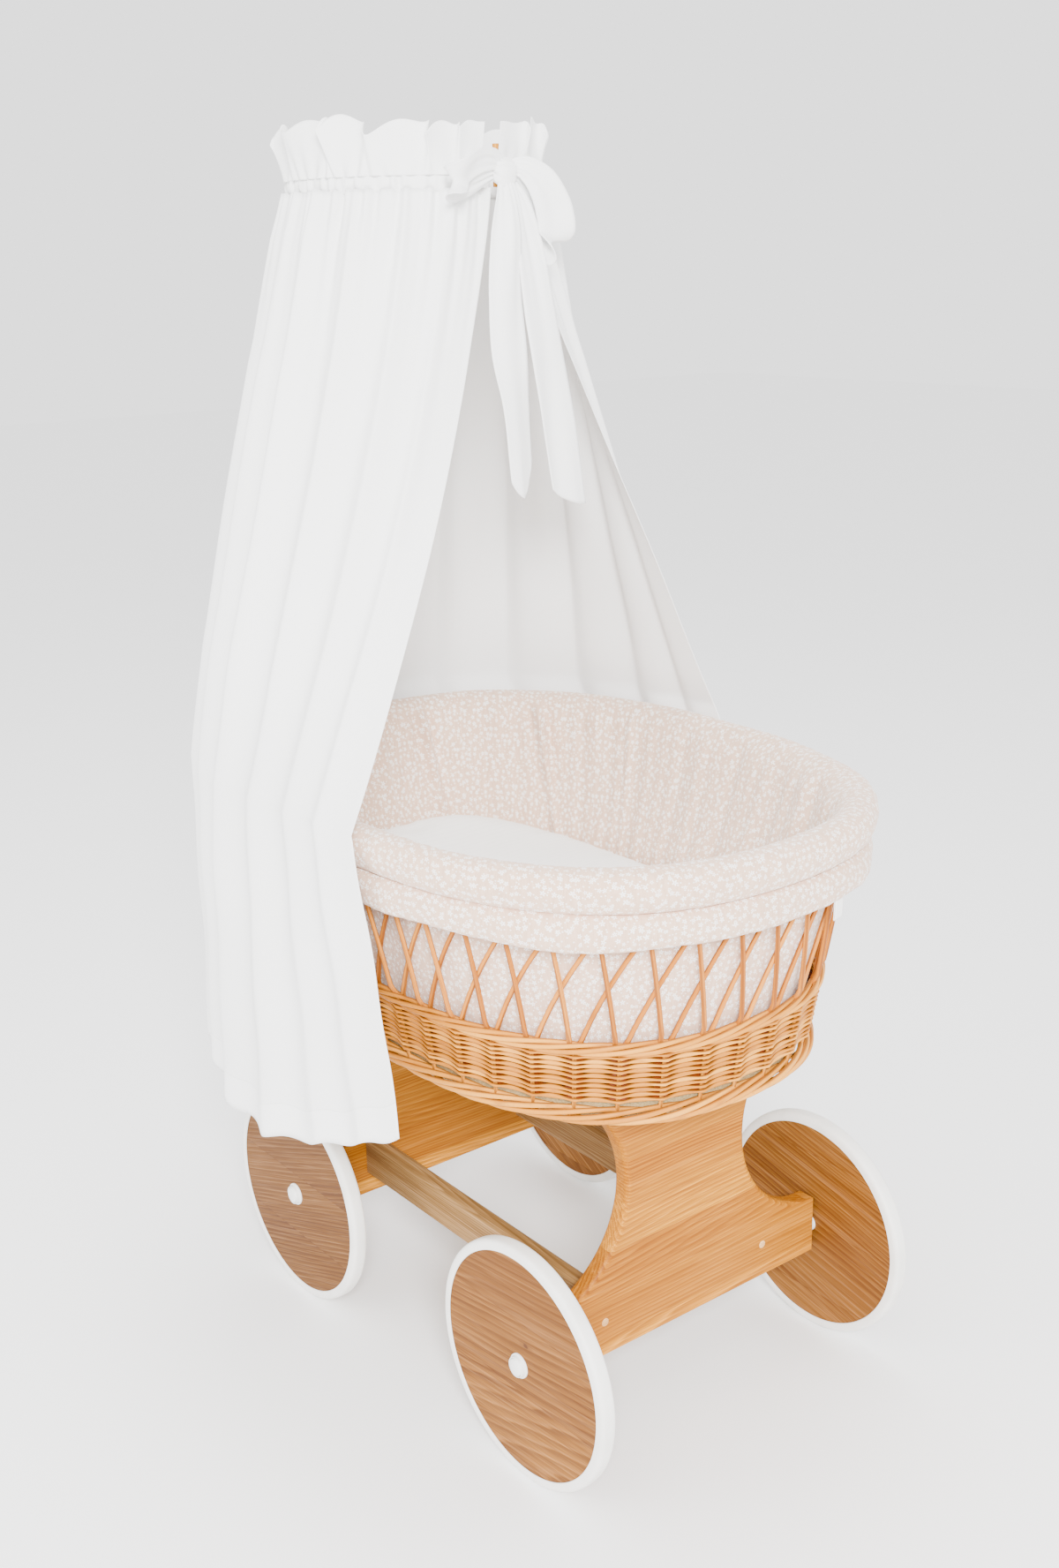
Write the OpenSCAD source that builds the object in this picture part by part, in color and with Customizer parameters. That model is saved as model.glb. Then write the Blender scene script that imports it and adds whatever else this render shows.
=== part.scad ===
/* [Wheels] */
// Wheel diameter over the tyre
wheel_d = 300; // [280:1:312]
// Thickness of the solid wood disc
disc_t = 18; // [16:0.5:19]
// Radial depth of the rubber tyre
tyre_depth = 10; // [6:0.5:14]
// Width of the rubber tyre
tyre_w = 21; // [20:0.5:22]
// Diameter of the axle bolt
axle_d = 10; // [8:0.5:12]
// Diameter of the hub cap
cap_d = 30; // [26:1:40]
// Distance from the frame's middle plane to the middle of a disc
disc_y = 242.5; // [242:0.5:246]

/* [Rolling frame] */
// Distance between the front and rear axles
wheelbase = 500; // [490:1:520]
// Thickness of the end boards
board_t = 25; // [24:1:28]
// Length of an end board across the cradle
board_w = 452; // [448:1:453]
// Height of the end boards' lower edge above the floor
board_z0 = 117; // [110:1:120]
// Height of the end boards' upper edge, where the basket rests
board_z1 = 446; // [440:1:446]
// Radius of the round notch in each side of an end board
notch_r = 140; // [130:1:142]
// Height of the notch's centre
notch_z = 333; // [325:1:338]
// Thickness of the long rails
rail_t = 24; // [20:1:26]
// Height of the long rails
rail_h = 52; // [48:1:56]
// Height of the rails' lower edge above the floor
rail_z0 = 148; // [146:1:152]
// Distance from the middle plane to the middle of a rail
rail_y = 132; // [128:1:136]

/* [Basket] */
// Half length of the basket wall at the reference height
wall_a = 350; // [346:1:352]
// Half width of the basket wall at the reference height
wall_b = 248; // [245:1:250]
// Outward slope of the wall at the two ends
flare_a = 0.156; // [0.15:0.002:0.16]
// Outward slope of the wall at the two sides
flare_b = 0.182; // [0.176:0.002:0.186]
// Roundness of the oval, where 2 is an ellipse
oval_e = 2.45; // [2.2:0.05:2.6]
// Number of crossed rod pairs in the open lattice
lattice_n = 41; // [32:1:44]
// Diameter of a lattice rod
rod_d = 5.2; // [4:0.2:5.6]

/* [Bedding] */
// Half length of the mattress
mattress_a = 318; // [310:1:320]
// Half width of the mattress
mattress_b = 212; // [200:1:217]
// Height of the mattress's upper face
mattress_z1 = 588; // [560:1:590]

/* [Canopy] */
// Radius of the hoop that carries the canopy
hoop_r = 148; // [147:1:149]
// Height of the hoop
hoop_z = 1460; // [1450:1:1470]
// Diameter of the canopy pole
pole_d = 14; // [12:0.5:14]
// Half length of the curtain's outline round the basket
curtain_a = 490; // [488:1:500]
// Half width of the curtain's outline round the basket
curtain_b = 365; // [360:1:375]
// Height of the curtain's lowest hem
hem_z = 330; // [320:1:345]
// Thickness of the curtain's cloth with its folds
curtain_t = 3; // [2.5:0.1:3.2]

/* [Hidden] */
$fn = 96;

// Heights and half sizes in the frame whose middle is midway between the axles
axle_z = wheel_d / 2;
axle_x = wheelbase / 2;
disc_r = wheel_d / 2 - tyre_depth;
board_y = board_w / 2;
board_in = axle_x - board_t / 2;
board_out = axle_x + board_t / 2;
notch_y = 236;
disc_in = disc_y - disc_t / 2;
disc_out = disc_y + disc_t / 2;
ref_z = 450;
base_t = 10;
base_z1 = board_z1 + base_t;

// Fixings
plug_d = 11;
plug_t = 7;
screw_d = 5;
screw_head_d = 10;
screw_head_t = 4;
screw_len = 60;
screw_z = 162;
dowel_d = 8;
dowel_z = 188;
dowel_in_board = 12;
dowel_in_rail = 30;
basket_screw_y = 80;
basket_screw_len = 46;
bolt_in_board = 60;
bolt_head_d = 16;
bolt_head_t = 4;
turn_gap = 0.3;
bush_d = 16;
bush_play = 0.06;
spacer_d = 22;
cap_h = 9;

// Basket wall: heights of its bands
border_r = 11;
border_z = board_z1 + border_r;
wall_z0 = 469;
wall_z1 = 541;
wall_t = 9;
waling_r = 6;
waling_z = wall_z1 + waling_r;
rim_r = 8;
rim_z = 737;
rod_offset = 3.2;
ring_n = 72;
round_n = 8;

// Nest: one cross-section for the lining with its roll, one for the band
roll_z = 748;
roll_r = 21;
channel_r = 8.8;
crease_z = 722;
lining_z0 = 477.3;
floor_z1 = 477;
sheet_t = 2;
sheet_gap = 0.2;

// Canopy pole: a slightly leaning straight pole in a deep socket
pole_foot = [-442, 0, 476.3];
pole_head = [-385, 0, 1450];
pole_lean = atan2(pole_head[0] - pole_foot[0], pole_head[2] - pole_foot[2]);
pole_len = norm(pole_head - pole_foot);
pole_play = 0.08;
block_x0 = -464;
block_x1 = -371;
block_z0 = 462;
block_z1 = 538;
block_w = 46;
hoop_x = -243;
hoop_wire_r = 4.5;
hoop_gap = 14;
tip_r = 5;
tip_h = 48;
connector_r = 11.5;
connector_z0 = 1435;
connector_z1 = 1468.5;
casing_r = 8.5;
casing_open = 10;

// Curtain: circle at the hoop, oval at the rim's height, nearly straight down to the hem
curtain_top_r = 160;
curtain_top_z = 1460;
drape_z = 775;
edge_x = 60;
hem_edge_x = 120;
hem_rise = 95;
curtain_cols = 64;
rows_above = 8;
rows_below = 4;
ruffle_z0 = 1460.3;
ruffle_z1 = 1528;
ruffle_t = 6;
ruffle_top_r = 174;
ruffle_slit = 8;

// Bow
knot_x = -70;
knot_size = [13, 13, 13];
loop_x = -61;
tail_z1 = 1450;
tail_tips = [[-45, -4, 1108], [-43, 92, 1097]];

// The row's origin lies on the floor under the middle of the whole object
foot_reach = wall_a + flare_a * (roll_z - ref_z) + roll_r;
shift_x = (curtain_a - foot_reach) / 2;

// Corner signs: front is +1 along the length, left is -1 across
FL = [1, -1];
FR = [1, 1];
RL = [-1, -1];
RR = [-1, 1];
corners = [FL, FR, RL, RR];

module framed() translate([shift_x, 0, 0]) children();

// Distance from the middle to a rounded oval with half sizes a and b in direction t
function oval_r(a, b, t) =
    pow(pow(abs(cos(t)) / a, oval_e) + pow(abs(sin(t)) / b, oval_e), -1 / oval_e);
function oval_point(a, b, t) = oval_r(a, b, t) * [cos(t), sin(t)];
function wall_half(z) = [wall_a + flare_a * (z - ref_z), wall_b + flare_b * (z - ref_z)];
// A point beside the basket wall: o is the distance outward from the wall's middle
function wall_point(o, z, t) =
    let (h = wall_half(z), p = oval_point(h[0] + o, h[1] + o, t)) [p[0], p[1], z];
function mix(p, q, u) = p + (q - p) * u;
function circle_profile(z, r) =
    [for (i = [0 : round_n - 1]) [r * cos(360 * i / round_n), z + r * sin(360 * i / round_n)]];

// A closed ring round the basket with a cross-section of [outward distance, height] points
module wall_ring(profile) {
    m = len(profile);
    points = [for (i = [0 : ring_n - 1]) for (p = profile) wall_point(p[0], p[1], 360 * i / ring_n)];
    faces = [for (i = [0 : ring_n - 1]) for (j = [0 : m - 1])
        let (a = i * m + j, b = i * m + (j + 1) % m, c = ((i + 1) % ring_n) * m + j,
             d = ((i + 1) % ring_n) * m + (j + 1) % m)
        each [[a, b, d], [a, d, c]]];
    polyhedron(points, faces, convexity = 4);
}

module oval_plate(a, b, z0, z1)
    translate([0, 0, z0]) linear_extrude(z1 - z0)
        polygon([for (i = [0 : ring_n - 1]) oval_point(a, b, 360 * i / ring_n)]);

// A round bar from p to q
module bar(p, q, r) {
    v = q - p;
    translate(p) rotate([0, acos(v[2] / norm(v)), atan2(v[1], v[0])])
        cylinder(h = norm(v), r = r, $fn = 24);
}

// Children are drawn along the outward axle direction, starting on the frame's middle plane
module on_axle(corner)
    framed() translate([corner[0] * axle_x, 0, axle_z]) rotate([-90 * corner[1], 0, 0]) children();

module dowels_solid()
    framed() for (c = corners)
        translate([c[0] * (board_in - dowel_in_rail), c[1] * rail_y, dowel_z])
            rotate([0, 90 * c[0], 0])
                cylinder(h = dowel_in_rail + dowel_in_board, d = dowel_d);

module rail_screws_solid()
    framed() for (c = corners)
        translate([c[0] * (board_out - plug_t), c[1] * rail_y, screw_z]) rotate([0, -90 * c[0], 0]) {
            cylinder(h = screw_head_t, d1 = screw_head_d, d2 = screw_d);
            cylinder(h = screw_len, d = screw_d);
        }

module plugs_solid()
    framed() for (c = corners)
        translate([c[0] * (board_out - plug_t), c[1] * rail_y, screw_z]) rotate([0, 90 * c[0], 0])
            cylinder(h = plug_t, d = plug_d);

module basket_screws_solid()
    framed() for (c = corners)
        translate([c[0] * axle_x, c[1] * basket_screw_y, base_z1 - basket_screw_len]) {
            cylinder(h = basket_screw_len, d = screw_d);
            translate([0, 0, basket_screw_len - screw_head_t])
                cylinder(h = screw_head_t, d1 = screw_d, d2 = screw_head_d);
        }

module axle_bolts_solid()
    for (c = corners) on_axle(c) {
        translate([0, 0, board_y - bolt_in_board])
            cylinder(h = disc_out + 2 * turn_gap - board_y + bolt_in_board, d = axle_d);
        translate([0, 0, disc_out + 2 * turn_gap]) cylinder(h = bolt_head_t, d = bolt_head_d, $fn = 6);
    }

module end_board(side)
    difference() {
        framed() difference() {
            translate([side * axle_x - board_t / 2, -board_y, board_z0])
                cube([board_t, board_w, board_z1 - board_z0]);
            for (s = [-1, 1])
                translate([side * axle_x - board_t, s * notch_y, notch_z]) rotate([0, 90, 0])
                    cylinder(h = 2 * board_t, r = notch_r);
        }
        dowels_solid();
        rail_screws_solid();
        plugs_solid();
        basket_screws_solid();
        axle_bolts_solid();
    }

module front_board() color("burlywood") end_board(1);
module rear_board() color("burlywood") end_board(-1);

module rail(side)
    difference() {
        framed() translate([-board_in, side * rail_y - rail_t / 2, rail_z0])
            cube([2 * board_in, rail_t, rail_h]);
        dowels_solid();
        rail_screws_solid();
    }

module left_rail() color("peru") rail(-1);
module right_rail() color("peru") rail(1);
module rail_dowels() color("wheat") dowels_solid();
module rail_screws() color("silver") rail_screws_solid();
module screw_plugs() color("wheat") plugs_solid();
module basket_screws() color("silver") basket_screws_solid();
module axle_bolts() color("silver") axle_bolts_solid();

module axle_spacers() color("white")
    for (c = corners) on_axle(c) translate([0, 0, board_y]) difference() {
        cylinder(h = disc_in - 2 * turn_gap - board_y, d = spacer_d);
        translate([0, 0, -1]) cylinder(h = disc_y, d = axle_d);
    }

module disc(corner) color("tan")
    on_axle(corner) translate([0, 0, disc_in]) difference() {
        cylinder(h = disc_t, r = disc_r);
        translate([0, 0, -1]) cylinder(h = disc_t + 2, d = bush_d);
    }

// Tyre: a flat band with round shoulders
module tyre(corner) color("whitesmoke") {
    shoulder = 4;
    half = tyre_w / 2 - shoulder;
    outer = wheel_d / 2 - shoulder;
    profile = concat(
        [for (a = [0 : 15 : 90]) [outer + shoulder * cos(a), half + shoulder * sin(a)]],
        [[disc_r, tyre_w / 2], [disc_r, -tyre_w / 2]],
        [for (a = [-90 : 15 : 0]) [outer + shoulder * cos(a), -half + shoulder * sin(a)]]);
    on_axle(corner) translate([0, 0, disc_y]) rotate_extrude($fn = 144) polygon(profile);
}

module bush(corner) color("dimgray")
    on_axle(corner) translate([0, 0, disc_in - turn_gap]) difference() {
        cylinder(h = disc_t + 2 * turn_gap, d = bush_d);
        translate([0, 0, -1]) cylinder(h = disc_t + 4, r = axle_d / 2 + bush_play);
    }

// Hub cap: a domed shell that covers the bolt head
module cap(corner) color("white") {
    r = cap_d / 2;
    wall = 2;
    outside = [for (i = [0 : 6]) [r * cos(15 * i), 2 + (cap_h - 2) * sin(15 * i)]];
    inside = [for (i = [6 : -1 : 0]) [(r - wall) * cos(15 * i), (cap_h - wall) * sin(15 * i)]];
    on_axle(corner) translate([0, 0, disc_out]) rotate_extrude()
        polygon(concat([[r, 0]], outside, inside));
}

module disc_front_left() disc(FL);
module disc_front_right() disc(FR);
module disc_rear_left() disc(RL);
module disc_rear_right() disc(RR);
module tyre_front_left() tyre(FL);
module tyre_front_right() tyre(FR);
module tyre_rear_left() tyre(RL);
module tyre_rear_right() tyre(RR);
module bush_front_left() bush(FL);
module bush_front_right() bush(FR);
module bush_rear_left() bush(RL);
module bush_rear_right() bush(RR);
module cap_front_left() cap(FL);
module cap_front_right() cap(FR);
module cap_rear_left() cap(RL);
module cap_rear_right() cap(RR);

module basket_base() color("tan")
    difference() {
        framed() oval_plate(wall_a - 10.3, wall_b - 10.3, board_z1, base_z1);
        basket_screws_solid();
    }

module bottom_border() color("sandybrown") framed() wall_ring(circle_profile(border_z, border_r));

module woven_wall() color("sandybrown")
    difference() {
        framed() wall_ring([
            [wall_t / 2, wall_z0], [wall_t / 2, wall_z1], [-wall_t / 2, wall_z1], [-wall_t / 2, wall_z0]]);
        bracket_bolts_solid();
    }

module top_waling() color("sandybrown") framed() wall_ring(circle_profile(waling_z, waling_r));

// Each top point sends one rod to either side; the two layers pass without touching
module lattice() color("sandybrown") framed() {
    step = 360 / lattice_n;
    z0 = waling_z + waling_r + 0.5;
    z1 = rim_z - rim_r - 0.5;
    for (k = [0 : lattice_n - 1]) for (s = [-1, 1])
        bar(wall_point(s * rod_offset, z0, step * (k + 0.92 * s)),
            wall_point(s * rod_offset, z1, step * (k + 0.06 * s)), rod_d / 2);
}

module basket_rim() color("sandybrown") framed() wall_ring(circle_profile(rim_z, rim_r));

module nest_floor() color("linen") framed() oval_plate(wall_a - 18, wall_b - 18, base_z1 + 1, floor_z1);

// Lining inside the wall, rolled over the rim and down to the crease outside
module nest_lining() color("linen") framed() {
    over = [for (a = [0 : 30 : 180]) [roll_r * cos(a), roll_z + roll_r * sin(a)]];
    under = [for (a = [180 : -45 : 0]) [channel_r * cos(a), rim_z + 0.5 + channel_r * sin(a)]];
    wall_ring(concat(
        [[roll_r - 1, crease_z]], over, [[-26, 650], [-30, lining_z0]],
        [[-16, lining_z0], [-14, 560], [-channel_r - 0.5, 700]], under, [[channel_r + 0.2, crease_z]]));
}

module nest_band() color("linen") framed()
    wall_ring([[10, crease_z - 0.3], [10, 700], [18, 683], [24, 681], [29, 690], [26, 708],
        [20, crease_z - 0.3]]);

module nest_label() color("white") framed()
    rotate([0, 0, 9]) translate([411, -10, 655]) cube([1.2, 20, 25.5]);

module mattress() color("ivory") framed() oval_plate(mattress_a, mattress_b, floor_z1 + 1, mattress_z1);

module fitted_sheet() color("white") framed() difference() {
    oval_plate(mattress_a + sheet_gap + sheet_t, mattress_b + sheet_gap + sheet_t,
        floor_z1 + 12, mattress_z1 + sheet_gap + sheet_t);
    oval_plate(mattress_a + sheet_gap, mattress_b + sheet_gap, floor_z1, mattress_z1 + sheet_gap);
}

// Children are drawn along the leaning pole, starting at its foot
module on_pole() framed() translate(pole_foot) rotate([0, pole_lean, 0]) children();

module bracket_bolts_solid()
    framed() for (s = [-1, 1]) translate([-345.5, s * 14, 502]) rotate([0, -90, 0]) {
        cylinder(h = 46, d = 6);
        cylinder(h = 3, d = 12);
    }

// Block on the head end of the basket with the pole's socket
module pole_bracket() color("burlywood")
    difference() {
        framed() translate([block_x0, -block_w / 2, block_z0])
            cube([block_x1 - block_x0, block_w, block_z1 - block_z0]);
        on_pole() translate([0, 0, -turn_gap]) cylinder(h = 120, r = pole_d / 2 + pole_play);
        bracket_bolts_solid();
    }

module bracket_plate() color("silver")
    difference() {
        framed() translate([-349.5, 0, 502]) rotate([0, -atan(flare_a), 0])
            translate([-1.2, -26, -16]) cube([2.4, 52, 32]);
        bracket_bolts_solid();
    }

module bracket_bolts() color("silver") bracket_bolts_solid();

module canopy_pole() color("peru") on_pole() cylinder(h = pole_len, d = pole_d);

module hoop_wire(r) translate([hoop_x, 0, hoop_z]) rotate([0, 0, hoop_gap / 2])
    rotate_extrude(angle = 360 - hoop_gap, $fn = 144) translate([hoop_r, 0]) circle(r, $fn = 24);

// Turned block that joins the pole's top to the hoop
module hoop_connector() color("peru")
    difference() {
        framed() translate([pole_head[0] - 1, 0, connector_z0])
            cylinder(h = connector_z1 - connector_z0, r = connector_r);
        on_pole() cylinder(h = pole_len, d = pole_d);
        framed() hoop_wire(hoop_wire_r);
    }

// Open hoop whose two ends turn up into the slit of the ruffle
module canopy_hoop() color("peru") framed() {
    hoop_wire(hoop_wire_r);
    for (s = [-1, 1])
        translate([hoop_x + hoop_r * cos(hoop_gap / 2), s * hoop_r * sin(hoop_gap / 2), hoop_z - tip_r - 0.5])
            cylinder(h = tip_h, r = tip_r);
}

// Cloth tunnel round the hoop, in two lengths that leave the connector and the front gap free
module hoop_casing() color("white") framed()
    for (s = [casing_open, 180 + casing_open]) translate([hoop_x, 0, hoop_z]) rotate([0, 0, s])
        rotate_extrude(angle = 180 - 2 * casing_open, $fn = 144) translate([hoop_r, 0]) difference() {
            circle(casing_r, $fn = 24);
            circle(hoop_wire_r + 0.3, $fn = 24);
        }

// Curtain: u runs from one front edge round the head end to the other, v counts the rows down
function curtain_top(u) =
    let (t = hoop_gap / 2 + u * (360 - hoop_gap))
    [hoop_x + curtain_top_r * cos(t), curtain_top_r * sin(t), curtain_top_z];
function edge_angle(x) = acos(x / curtain_a);
function curtain_side(u, x, z) =
    let (t0 = edge_angle(x), p = oval_point(curtain_a, curtain_b, t0 + u * (360 - 2 * t0))) [p[0], p[1], z];
function hem_at(u) = hem_z + hem_rise * pow(abs(2 * u - 1), 4);
function curtain_point(u, v) =
    v <= rows_above
        ? mix(curtain_top(u), curtain_side(u, edge_x, drape_z), v / rows_above)
        : mix(curtain_side(u, edge_x, drape_z), curtain_side(u, hem_edge_x, hem_at(u)),
              (v - rows_above) / rows_below);
// The inner face lies a cloth's thickness nearer to a line through the middle of each row
function curtain_inner(p) =
    let (c = [p[2] > drape_z ? hoop_x * (p[2] - drape_z) / (curtain_top_z - drape_z) : 0, 0, p[2]],
         d = p - c) p - d * curtain_t / norm(d);

module canopy_curtain() color("white") framed() {
    rows = rows_above + rows_below;
    outer = [for (i = [0 : curtain_cols]) for (v = [0 : rows]) curtain_point(i / curtain_cols, v)];
    inner = [for (p = outer) curtain_inner(p)];
    w = rows + 1;
    k = len(outer);
    skin = [for (i = [0 : curtain_cols - 1]) for (v = [0 : rows - 1])
        let (a = i * w + v, b = a + 1, c = a + w, d = c + 1)
        each [[a, c, d], [a, d, b], [a + k, d + k, c + k], [a + k, b + k, d + k]]];
    hems = [for (i = [0 : curtain_cols - 1])
        let (a = i * w, c = a + w, b = a + rows, d = c + rows)
        each [[a, c + k, c], [a, a + k, c + k], [b, d, d + k], [b, d + k, b + k]]];
    last = curtain_cols * w;
    edges = [for (v = [0 : rows - 1])
        let (c = last + v)
        each [[v, v + 1, v + 1 + k], [v, v + 1 + k, v + k], [c, c + 1 + k, c + 1], [c, c + k, c + 1 + k]]];
    polyhedron(concat(outer, inner), concat(skin, hems, edges), convexity = 6);
}

// Ruffle above the gather line, open at the front
module canopy_ruffle() color("white") framed()
    translate([hoop_x, 0, 0]) rotate([0, 0, ruffle_slit / 2])
        rotate_extrude(angle = 360 - ruffle_slit) polygon([
            [curtain_top_r - curtain_t, ruffle_z0], [curtain_top_r, ruffle_z0],
            [ruffle_top_r, ruffle_z1], [ruffle_top_r - ruffle_t, ruffle_z1]]);

module bow_knot() color("white") framed()
    translate([knot_x, 0, hoop_z + 4]) scale(knot_size) sphere(r = 1, $fn = 32);

module bow_loops() color("white") framed() {
    translate([loop_x, -45, 1456]) rotate([8, 0, 0]) scale([8, 32, 17]) sphere(r = 1, $fn = 24);
    translate([loop_x, 47, 1428]) rotate([-48, 0, 0]) scale([8, 44, 17]) sphere(r = 1, $fn = 24);
}

module bow_tails() color("white") framed()
    for (i = [0, 1]) hull() {
        translate([loop_x - 2, -11 + 12 * i, tail_z1 - 2]) cube([2, 10, 2]);
        translate(tail_tips[i] - [1, 22, 0]) cube([2, 44, 2]);
    }

front_board();
rear_board();
left_rail();
right_rail();
rail_dowels();
rail_screws();
screw_plugs();
basket_screws();
axle_bolts();
axle_spacers();
disc_front_left();
disc_front_right();
disc_rear_left();
disc_rear_right();
tyre_front_left();
tyre_front_right();
tyre_rear_left();
tyre_rear_right();
bush_front_left();
bush_front_right();
bush_rear_left();
bush_rear_right();
cap_front_left();
cap_front_right();
cap_rear_left();
cap_rear_right();
basket_base();
bottom_border();
woven_wall();
top_waling();
lattice();
basket_rim();
nest_floor();
nest_lining();
nest_band();
nest_label();
mattress();
fitted_sheet();
pole_bracket();
bracket_plate();
bracket_bolts();
canopy_pole();
hoop_connector();
canopy_hoop();
hoop_casing();
canopy_curtain();
canopy_ruffle();
bow_knot();
bow_loops();
bow_tails();
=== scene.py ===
import bmesh
import bpy
import math
import numpy as np
from mathutils import Matrix, Vector


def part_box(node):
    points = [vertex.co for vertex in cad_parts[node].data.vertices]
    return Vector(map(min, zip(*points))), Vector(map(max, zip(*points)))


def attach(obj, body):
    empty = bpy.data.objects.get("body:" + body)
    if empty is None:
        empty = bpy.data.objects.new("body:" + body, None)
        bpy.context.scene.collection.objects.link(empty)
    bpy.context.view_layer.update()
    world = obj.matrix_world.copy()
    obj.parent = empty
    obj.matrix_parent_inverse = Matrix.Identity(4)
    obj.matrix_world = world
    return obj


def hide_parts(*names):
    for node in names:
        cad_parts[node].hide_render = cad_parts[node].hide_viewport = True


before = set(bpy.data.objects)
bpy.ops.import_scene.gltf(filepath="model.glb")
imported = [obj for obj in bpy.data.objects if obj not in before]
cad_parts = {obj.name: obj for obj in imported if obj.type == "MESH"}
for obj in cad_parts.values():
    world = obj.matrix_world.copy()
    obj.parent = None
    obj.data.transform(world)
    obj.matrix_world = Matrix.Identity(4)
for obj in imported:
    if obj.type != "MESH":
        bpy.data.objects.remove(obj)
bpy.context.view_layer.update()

MM = 0.001
PI = math.pi
# Lengths below are in millimetres from the point on the floor midway between the wheels.
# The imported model's origin lies under the middle of its box, so X0 is the way between the two.
X0 = (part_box("front_board")[0].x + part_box("rear_board")[1].x) / 2
# The map's V goes once round a rod in this many metres
ROD_GIRTH = 0.02


# ---------------------------------------------------------------- shader helpers

def rgb(r, g, b):
    """An sRGB colour from 0 to 255 as the linear colour a shader takes."""
    def lin(c):
        c /= 255
        return c / 12.92 if c <= 0.04045 else ((c + 0.055) / 1.055) ** 2.4
    return (lin(r), lin(g), lin(b), 1.0)


def tint(r, g, b):
    """A linear colour, for surfaces whose sRGB colour depends on how the view compresses bright light."""
    return (r, g, b, 1.0)


def scaled(colour, by, add=0.0):
    """A colour made darker or brighter, held at or below 1."""
    return tuple(min(1.0, c * by + add) for c in colour[:3]) + (1.0,)


class Shader:
    """A Principled material with short calls for the nodes that drive it."""

    def __init__(self, name, **values):
        self.mat = bpy.data.materials.new(name)
        self.mat.use_nodes = True
        self.tree = self.mat.node_tree
        self.surface = self.tree.nodes["Principled BSDF"]
        self.set(**values)

    def put(self, socket, value):
        if isinstance(value, bpy.types.NodeSocket):
            self.tree.links.new(value, socket)
        else:
            socket.default_value = value

    def set(self, **values):
        for name, value in values.items():
            self.put(self.surface.inputs[name.replace("_", " ")], value)
        return self.mat

    def node(self, kind, props=None, inputs=None):
        n = self.tree.nodes.new("ShaderNode" + kind)
        for k, v in (props or {}).items():
            setattr(n, k, v)
        for k, v in (inputs or {}).items():
            self.put(n.inputs[k], v)
        return n

    def place(self):
        return self.node("TexCoord").outputs["Object"]

    def cloth_uv(self):
        return self.node("UVMap", {"uv_map": "Cloth"}).outputs[0]

    def attribute(self, name):
        return self.node("Attribute", {"attribute_name": name}).outputs["Fac"]

    def mapping(self, vector, move=(0, 0, 0), turn=(0, 0, 0), scale=(1, 1, 1)):
        return self.node("Mapping", None, {0: vector, 1: move, 2: turn, 3: scale}).outputs[0]

    def math(self, operation, a, b=0.0, c=0.0):
        return self.node("Math", {"operation": operation}, {0: a, 1: b, 2: c}).outputs[0]

    def times(self, a, b):
        return self.math("MULTIPLY", a, b)

    def plus(self, a, b):
        return self.math("ADD", a, b)

    def minus(self, a, b):
        return self.math("SUBTRACT", a, b)

    def vmath(self, operation, a, b=(0, 0, 0)):
        n = self.node("VectorMath", {"operation": operation}, {0: a, 1: b})
        return n.outputs[1] if operation in ("LENGTH", "DISTANCE") else n.outputs[0]

    def split(self, vector):
        return self.node("SeparateXYZ", None, {0: vector}).outputs

    def join(self, x=0.0, y=0.0):
        return self.node("CombineXYZ", None, {0: x, 1: y}).outputs[0]

    def noise(self, vector, scale, detail=3.0, rough=0.5, distortion=0.0):
        return self.node("TexNoise", None, {"Vector": vector, "Scale": scale, "Detail": detail,
                                            "Roughness": rough, "Distortion": distortion}).outputs[0]

    def white_noise(self, number):
        """One value and one colour at random for each whole number."""
        return self.node("TexWhiteNoise", {"noise_dimensions": "1D"}, {"W": number}).outputs

    def voronoi(self, vector, scale, randomness=1.0):
        return self.node("TexVoronoi", {"voronoi_dimensions": "2D"},
                         {"Vector": vector, "Scale": scale, "Randomness": randomness}).outputs

    def range(self, value, a, b, to_a=0.0, to_b=1.0):
        return self.node("MapRange", {"interpolation_type": "SMOOTHSTEP"},
                         {0: value, 1: a, 2: b, 3: to_a, 4: to_b}).outputs[0]

    def mix(self, factor, a, b, blend="MIX"):
        return self.node("Mix", {"data_type": "RGBA", "blend_type": blend}, {0: factor, 6: a, 7: b}).outputs[2]

    def ramp(self, factor, stops):
        n = self.node("ValToRGB", None, {0: factor})
        marks = n.color_ramp.elements
        while len(marks) < len(stops):
            marks.new(0.5)
        for mark, (at, colour) in zip(marks, stops):
            mark.position = at
            mark.color = colour
        return n.outputs[0]

    def bump(self, height, distance, strength=1.0, under=None):
        values = {"Height": height, "Distance": distance, "Strength": strength}
        if under is not None:
            values["Normal"] = under
        return self.node("Bump", None, values).outputs[0]


# ---------------------------------------------------------------- materials

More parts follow.
